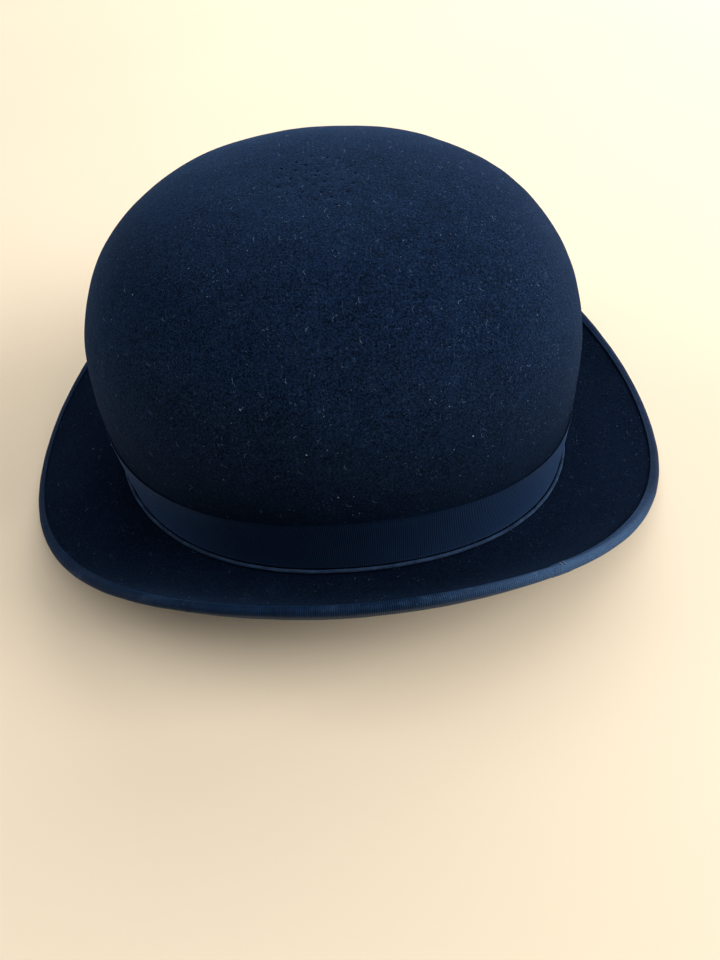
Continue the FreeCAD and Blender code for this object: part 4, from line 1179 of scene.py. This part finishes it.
def make_stitches():
    """Stitches round the leather's foot, and two upright rows on the seam tape."""
    offset = LEATHER_FACE - STITCH_RADIUS - STITCH_GAP
    random = np.random.default_rng(9)
    spots = []
    for step in range(STITCH_COUNT):
        angle = TURN * (step + 0.5) / STITCH_COUNT
        if abs(angle - BACK_ANGLE) >= angle_span(SEAM_TAPE_WIDTH, BACK_ANGLE):
            level = STITCH_LEVEL + random.uniform(-STITCH_STRAY, STITCH_STRAY)
            spots.append((angle, level, offset, STITCH_LENGTH, False))
    tape = LEATHER_FACE - FIT_GAP - SEAM_TAPE_THICKNESS - SEAM_STITCH_RADIUS - STITCH_GAP
    for side in (-1, 1):
        angle = BACK_ANGLE + side * angle_span(SEAM_TAPE_WIDTH / 2 - SEAM_STITCH_INSET, BACK_ANGLE)
        for level in np.arange(SEAM_TAPE_BOTTOM + 1.8, SEAM_TAPE_TOP - 1.0, SEAM_STITCH_PITCH):
            if abs(level - INNER_BOW_LEVEL) > INNER_KNOT_HEIGHT / 2 + 1.2:
                spots.append((angle, level, tape, SEAM_STITCH_LENGTH, True))
    stitches = []
    for angle, level, depth, length, upright in spots:
        middle = on_leather(angle, level, depth)
        ahead = on_leather(angle + (not upright) * SMALL_TURN, level + upright * 0.5, depth)
        radius = SEAM_STITCH_RADIUS if upright else STITCH_RADIUS
        stitches.append(stitch(middle, unit(ahead - middle), outward_at(angle), length, radius))
    return mesh_piece("sweat_stitching", *joined(stitches), THREAD, ["sweatband_stitches"], "thread")


def make_seam_tape():
    """Tape over the leather's back seam, dented along its two rows of stitches."""
    turn = angle_span(SEAM_TAPE_WIDTH, BACK_ANGLE)
    across = np.array(SEAM_TAPE_PLACES) / SEAM_TAPE_WIDTH
    low = np.array(SEAM_TAPE_LOW)[:, None]
    levels = np.linspace(SEAM_TAPE_BOTTOM, SEAM_TAPE_TOP, 40)[None, :]
    angles = BACK_ANGLE + (across[:, None] - 0.5) * turn
    near = LEATHER_FACE - FIT_GAP
    front = on_leather(angles, levels, near - SEAM_TAPE_THICKNESS + low + 0 * levels)
    back = on_leather(angles[::4], levels, near + 0 * levels)
    wide = across * SEAM_TAPE_WIDTH
    return mesh_piece("back_seam_tape", *sheet_mesh(front, back), SEAM_CLOTH, ["sweatband_seam_tape"], "tape",
                      cloth_places(levels - SEAM_TAPE_BOTTOM, wide, wide[::4]))


def inner_layer(layer):
    """Depth of each layer of the small bow, over the seam tape's face."""
    face = LEATHER_FACE - FIT_GAP - SEAM_TAPE_THICKNESS
    return face - FIT_GAP - (layer + 0.5) * INNER_BOW_THICKNESS - layer * FIT_GAP


def make_inner_bow():
    """Two loops and a knot over the foot of the seam tape."""
    turn = angle_span(1.0, BACK_ANGLE)
    pieces = []
    for direction, name in ((1, "inner_loop_left"), (-1, "inner_loop_right")):
        def place(length, depth, crossing, direction=direction):
            share = np.clip(2 * length / INNER_BOW_LENGTH, 0, 1)
            level = INNER_BOW_LEVEL + crossing * INNER_BOW_HEIGHT / 2 * mix(0.8, 1.0, share)
            shown = smooth(0.3, 0.8, depth / INNER_BOW_FULLNESS)
            bulge = 0.5 * smooth(0.25, 0.6, share) * smooth(1.0, 0.8, share)
            offset = inner_layer(1) - depth - shown * bulge
            return on_leather(BACK_ANGLE + direction * length * turn, level, offset)
        path = loop_path(FIT_GAP, INNER_BOW_LENGTH / 2, 0.0, INNER_BOW_FULLNESS)
        piece, _ = ribbon_piece(name, path, INNER_BOW_HEIGHT, INNER_BOW_THICKNESS, place, INNER_RIBBON,
                                "sweatband_bow_loops", "tape", INNER_RIB, INNER_RIB_DEPTH)
        pieces.append(piece)
    depth = inner_layer(0) - inner_layer(1) + INNER_BOW_FULLNESS + INNER_BOW_THICKNESS + FIT_GAP

    def knot(level, deep, crossing):
        shown = smooth(0.3, 0.8, deep / depth)
        angle = BACK_ANGLE + crossing * INNER_KNOT_LENGTH / 2 * turn * (1 - 0.1 * shown)
        offset = inner_layer(0) - deep - 0.2 * shown * (1 - crossing ** 2)
        return on_leather(angle, INNER_BOW_LEVEL + level, offset)
    piece, _ = ribbon_piece("inner_knot", wrap_path(INNER_KNOT_HEIGHT, 0.0, depth), INNER_KNOT_LENGTH,
                            INNER_BOW_THICKNESS, knot, INNER_RIBBON, "sweatband_bow_knot", "tape",
                            INNER_RIB, INNER_RIB_DEPTH)
    return pieces + [piece]


def make_sweatband():
    leather = make_leather()
    others = [make_stitches(), make_seam_tape()] + make_inner_bow()
    length = length_round(LEATHER_TOP / 2, LEATHER_OUT)


def make_tape():
    """Tape folded round the reed, its two legs standing between felt and leather."""
    path = [(TAPE_LEG_OUT, TAPE_TOP), (TAPE_LEG_OUT, 0.25 * TAPE_TOP)]
    turns = POCKET_START - POCKET_TURN * np.arange(POCKET_STEPS + 1) / POCKET_STEPS
    path += list(zip(REED_OFFSET + TAPE_POCKET * np.cos(turns), REED_LEVEL + TAPE_POCKET * np.sin(turns)))
    path += [(TAPE_LEG_IN, 0.25 * TAPE_TOP), (TAPE_LEG_IN, TAPE_TOP)]
    places, square, width = along_path(path, TAPE_STEP, 1)
    angles = seam_to_seam(LEATHER_COLUMNS)
    grids = []
    for side in (1, -1):
        face = places + side * TAPE_THICKNESS / 2 * square
        grids.append(wall_at(angles, face[:, 1:], face[:, :1]))
    length = length_round(REED_LEVEL, REED_OFFSET)
    wide = np.linspace(0, width, len(places))
    flat = cloth_places(np.linspace(0, length, LEATHER_COLUMNS)[None, :], wide, wide)
    tape = mesh_piece("reed_tape", *sheet_mesh(*grids), TAPE, ["sweatband_tape"], "tape", flat)


def make_reed():
    """The round reed inside the tape."""
    angles = np.linspace(0, TURN, LEATHER_COLUMNS, endpoint=False)
    tube = tube_mesh(wall_at(angles, REED_LEVEL, REED_OFFSET), outward_at(angles), REED_RADIUS, 10, True)
    mesh_piece("hidden_reed", *tube, REED, ["sweatband_reed"], "reed")


def make_tab():
    """Plain card tucked behind the leather, leaning with it."""
    turn = angle_span(TAB_WIDTH, BACK_ANGLE)
    angles = BACK_ANGLE + np.linspace(-0.5, 0.5, 23)[None, :] * turn
    levels = np.linspace(TAB_BOTTOM, TAB_TOP, 20)[:, None]
    lean = TAB_LEAN * leather_shift(angles, np.minimum(levels, LEATHER_TOP))
    inner = LEATHER_OUT + FIT_GAP
    front = wall_at(angles, levels, inner + lean)
    back = wall_at(angles, levels, inner + TAB_THICKNESS + lean)
    tab = mesh_piece("card_tab", *sheet_mesh(front, back), CARD, ["size_tab"], "tab")


# ---- lining
PLEATS = 92
PLEAT_COLUMNS = 8             # columns in one pleat
PLEAT_DEPTH = 1.7
LINING_FACES = (LINING_OUT, LINING_OUT - LINING_THICKNESS)
WALL_ROWS = 14                # rows of the side panel below the dome
DOME_ROWS = 34
TIP_COLUMNS = 180
TIP_SAG, PUCKERS, PUCKER_DEPTH = 0.9, 61, 0.16
PIPING_ROPES, PIPING_ROPE = 90, 0.05  # twists of the piping's cord that show, and their depth


def lining_rows(offset, fullness):
    """Rings of the side panel from its foot up to the tip's seam, pleated inwards by a fullness."""
    angles = seam_to_seam(PLEATS * PLEAT_COLUMNS + 1)
    shares = np.linspace(0, 1, WALL_ROWS)[:, None]
    arcs = np.linspace(0, LINING_SPLIT, DOME_ROWS)[1:, None]
    walls = crown_at(angles, mix(join_height(angles) + LINING_BOTTOM, WIDEST_HEIGHT, shares), 0.0)
    domes = dome_at(angles, arcs, 0.0 * angles)
    plain = np.concatenate([walls, domes])
    height = plain[..., 2]
    level = height - join_height(angles)
    top = dome_at(SPACING_ANGLE, LINING_SPLIT, 0.0)[2]
    drift = 0.9 * ripple(plain, 55, 51) + 0.5 * ripple(plain, 22, 52)
    wave = np.cos(PLEATS * angles + 2.6 * drift)
    fold = ((1 + wave) / 2) ** 1.4 * (0.75 + 0.35 * ripple(plain * (1, 1, 0.25), 30, 53))
    amount = fullness * smooth(LEATHER_TOP - 2, LEATHER_TOP + 16, level) * smooth(top - 1.5, top - 16, height)
    amount = amount + 0.10 * fullness * smooth(top, top - 3, height)
    depth = offset - np.clip(amount * fold, 0, None)
    walls = crown_at(angles, walls[..., 2], depth[:len(shares)])
    domes = dome_at(angles, arcs, depth[len(shares):])
    return np.concatenate([walls, domes])


def make_lining_side():
    """The pleated satin round the inside of the wall."""
    outer, inner = (lining_rows(offset, PLEAT_DEPTH) for offset in LINING_FACES)
    tall, run = across_rows(inner), running(np.linalg.norm(np.diff(inner[WALL_ROWS], axis=0), axis=-1))
    side = mesh_piece("satin_side", *sheet_mesh(outer, inner), SATIN, ["lining_side"], "satin",
                      cloth_places(run[None, :], tall, tall))


def make_lining_tip():
    """Satin oval that sags a little and puckers at its seam."""
    angles = np.linspace(0, TURN, TIP_COLUMNS, endpoint=False)[None, :]
    arcs, _ = even_steps(lambda arc: dome_at(SPACING_ANGLE, arc, LINING_OUT), LINING_SPLIT + LINING_SPLIT_GAP,
                         0.999 - LINING_SPLIT - LINING_SPLIT_GAP, 2.4)
    arcs = arcs[:-1, None]
    grids = []
    for offset in LINING_FACES:
        rows = dome_at(angles, arcs, offset)
        inside = smooth(LINING_SPLIT + LINING_SPLIT_GAP, 0.8, arcs)
        pull = np.cos(PUCKERS * angles + 1.5 * ripple(rows, 40, 62)) * smooth(0.78, 0.58, arcs) * inside
        rows[..., 2] -= inside * (TIP_SAG + 0.35 * ripple(rows, 30, 61)) + PUCKER_DEPTH * pull
        grids.append(rows)
    outer, inner = grids
    rows = len(outer)
    count = rows * TIP_COLUMNS
    tops = [grid[-1].mean(0) for grid in grids]
    points = np.concatenate([outer.reshape(-1, 3), inner.reshape(-1, 3), tops])
    faces = grid_faces(rows, TIP_COLUMNS, closed_columns=True)
    faces += [[corner + count for corner in reversed(face)] for face in faces]
    last = count - TIP_COLUMNS
    for column in range(TIP_COLUMNS):
        after = (column + 1) % TIP_COLUMNS
        faces.append([last + column, last + after, 2 * count])
        faces.append([count + last + after, count + last + column, 2 * count + 1])
        faces.append([after, column, count + column, count + after])
    tip = mesh_piece("satin_tip", points, faces, SATIN, ["lining_tip"], "satin", points * (1, 1, 0))


def make_piping():
    """Corded piping where the side of the lining meets its tip."""
    angles = np.linspace(0, TURN, 2 * TIP_COLUMNS, endpoint=False)
    offset = LINING_OUT - LINING_THICKNESS - PIPING_RADIUS - FIT_GAP
    centres = dome_at(angles, LINING_SPLIT + LINING_SPLIT_GAP / 2, offset)
    radius = PIPING_RADIUS - 0.06 + PIPING_ROPE * np.sin(PIPING_ROPES * angles)
    tube = tube_mesh(centres, outward_at(angles), radius, 12, True)
    mesh_piece("satin_piping", *tube, PIPING, ["lining_piping"], "satin")


for make in (make_felt, make_band, make_cord, make_binding, make_bow_base, make_bow_knot, make_sweatband,
             make_tape, make_reed, make_tab, make_lining_side, make_lining_tip, make_piping):
    make()
make_bow_loop("bow_front_loop", 1, "bow_loop_front")
make_bow_loop("bow_back_loop", -1, "bow_loop_back")


# ---- floor and light
FLOOR_REACH, FLOOR_COLOURS = 3.0, ((0.94, 0.79, 0.59), (0.90, 0.75, 0.555))
LIGHT_TARGET = (0.0, 0.0, 0.05)
ROOM_COLOUR, ROOM_STRENGTH = (0.86, 0.93, 1.0, 1.0), 0.02
LIGHTS = (                    # name, place, size and watts
    ("overhead", (0.0, 0.0, 1.8), (1.6, 1.6), 10.0),
    ("right", (2.6, -0.45, 1.4), (1.8, 1.8), 90.0),
    ("right_front", (1.1, -0.9, 1.3), (1.2, 1.2), 3.0),
    ("window", (0.3, 1.7, 1.0), (1.6, 1.0), 17.0),
    ("window_right", (1.5, 1.0, 0.7), (1.2, 1.0), 16.0),
    ("left", (-1.6, 0.2, 1.0), (1.2, 1.2), 11.0),
)


def make_floor():
    """The floor that the hat stands on."""
    n = Nodes("floor")
    place = n.place()
    colour = n.blend(n.span(n.noise(place, 0.35, 2.0), 0.3, 0.7), *FLOOR_COLOURS)
    n.set(Specular_IOR_Level=0.3)
    material = n.finish(colour, 0.6, n.bump(n.noise(place, 0.004, 2.0), 0.00005, 0.3))
    mesh = bpy.data.meshes.new("floor")
    corners = [(x * FLOOR_REACH, y * FLOOR_REACH, 0) for x, y in ((-1, -1), (1, -1), (1, 1), (-1, 1))]
    mesh.from_pydata(corners, [], [(0, 1, 2, 3)])
    mesh.materials.append(material)
    floor = bpy.data.objects.new("floor", mesh)
    bpy.context.scene.collection.objects.link(floor)


def area_light(name, place, size, power):
    """A rectangular lamp that faces the hat."""
    data = bpy.data.lights.new(name, "AREA")
    data.shape = "RECTANGLE"
    data.size, data.size_y = size
    data.energy = power
    light = bpy.data.objects.new(name, data)
    bpy.context.scene.collection.objects.link(light)
    light.location = place
    light.rotation_mode = "QUATERNION"
    light.rotation_quaternion = (Vector(LIGHT_TARGET) - Vector(place)).to_track_quat("-Z", "Y")


def make_light():
    """A dim room and the lamps in it."""
    world = bpy.data.worlds.new("room")
    world.use_nodes = True
    background = world.node_tree.nodes["Background"]
    background.inputs["Color"].default_value = ROOM_COLOUR
    background.inputs["Strength"].default_value = ROOM_STRENGTH
    bpy.context.scene.world = world
    for light in LIGHTS:
        area_light(*light)
    bpy.context.scene.view_settings.view_transform = "Standard"


make_floor()
make_light()
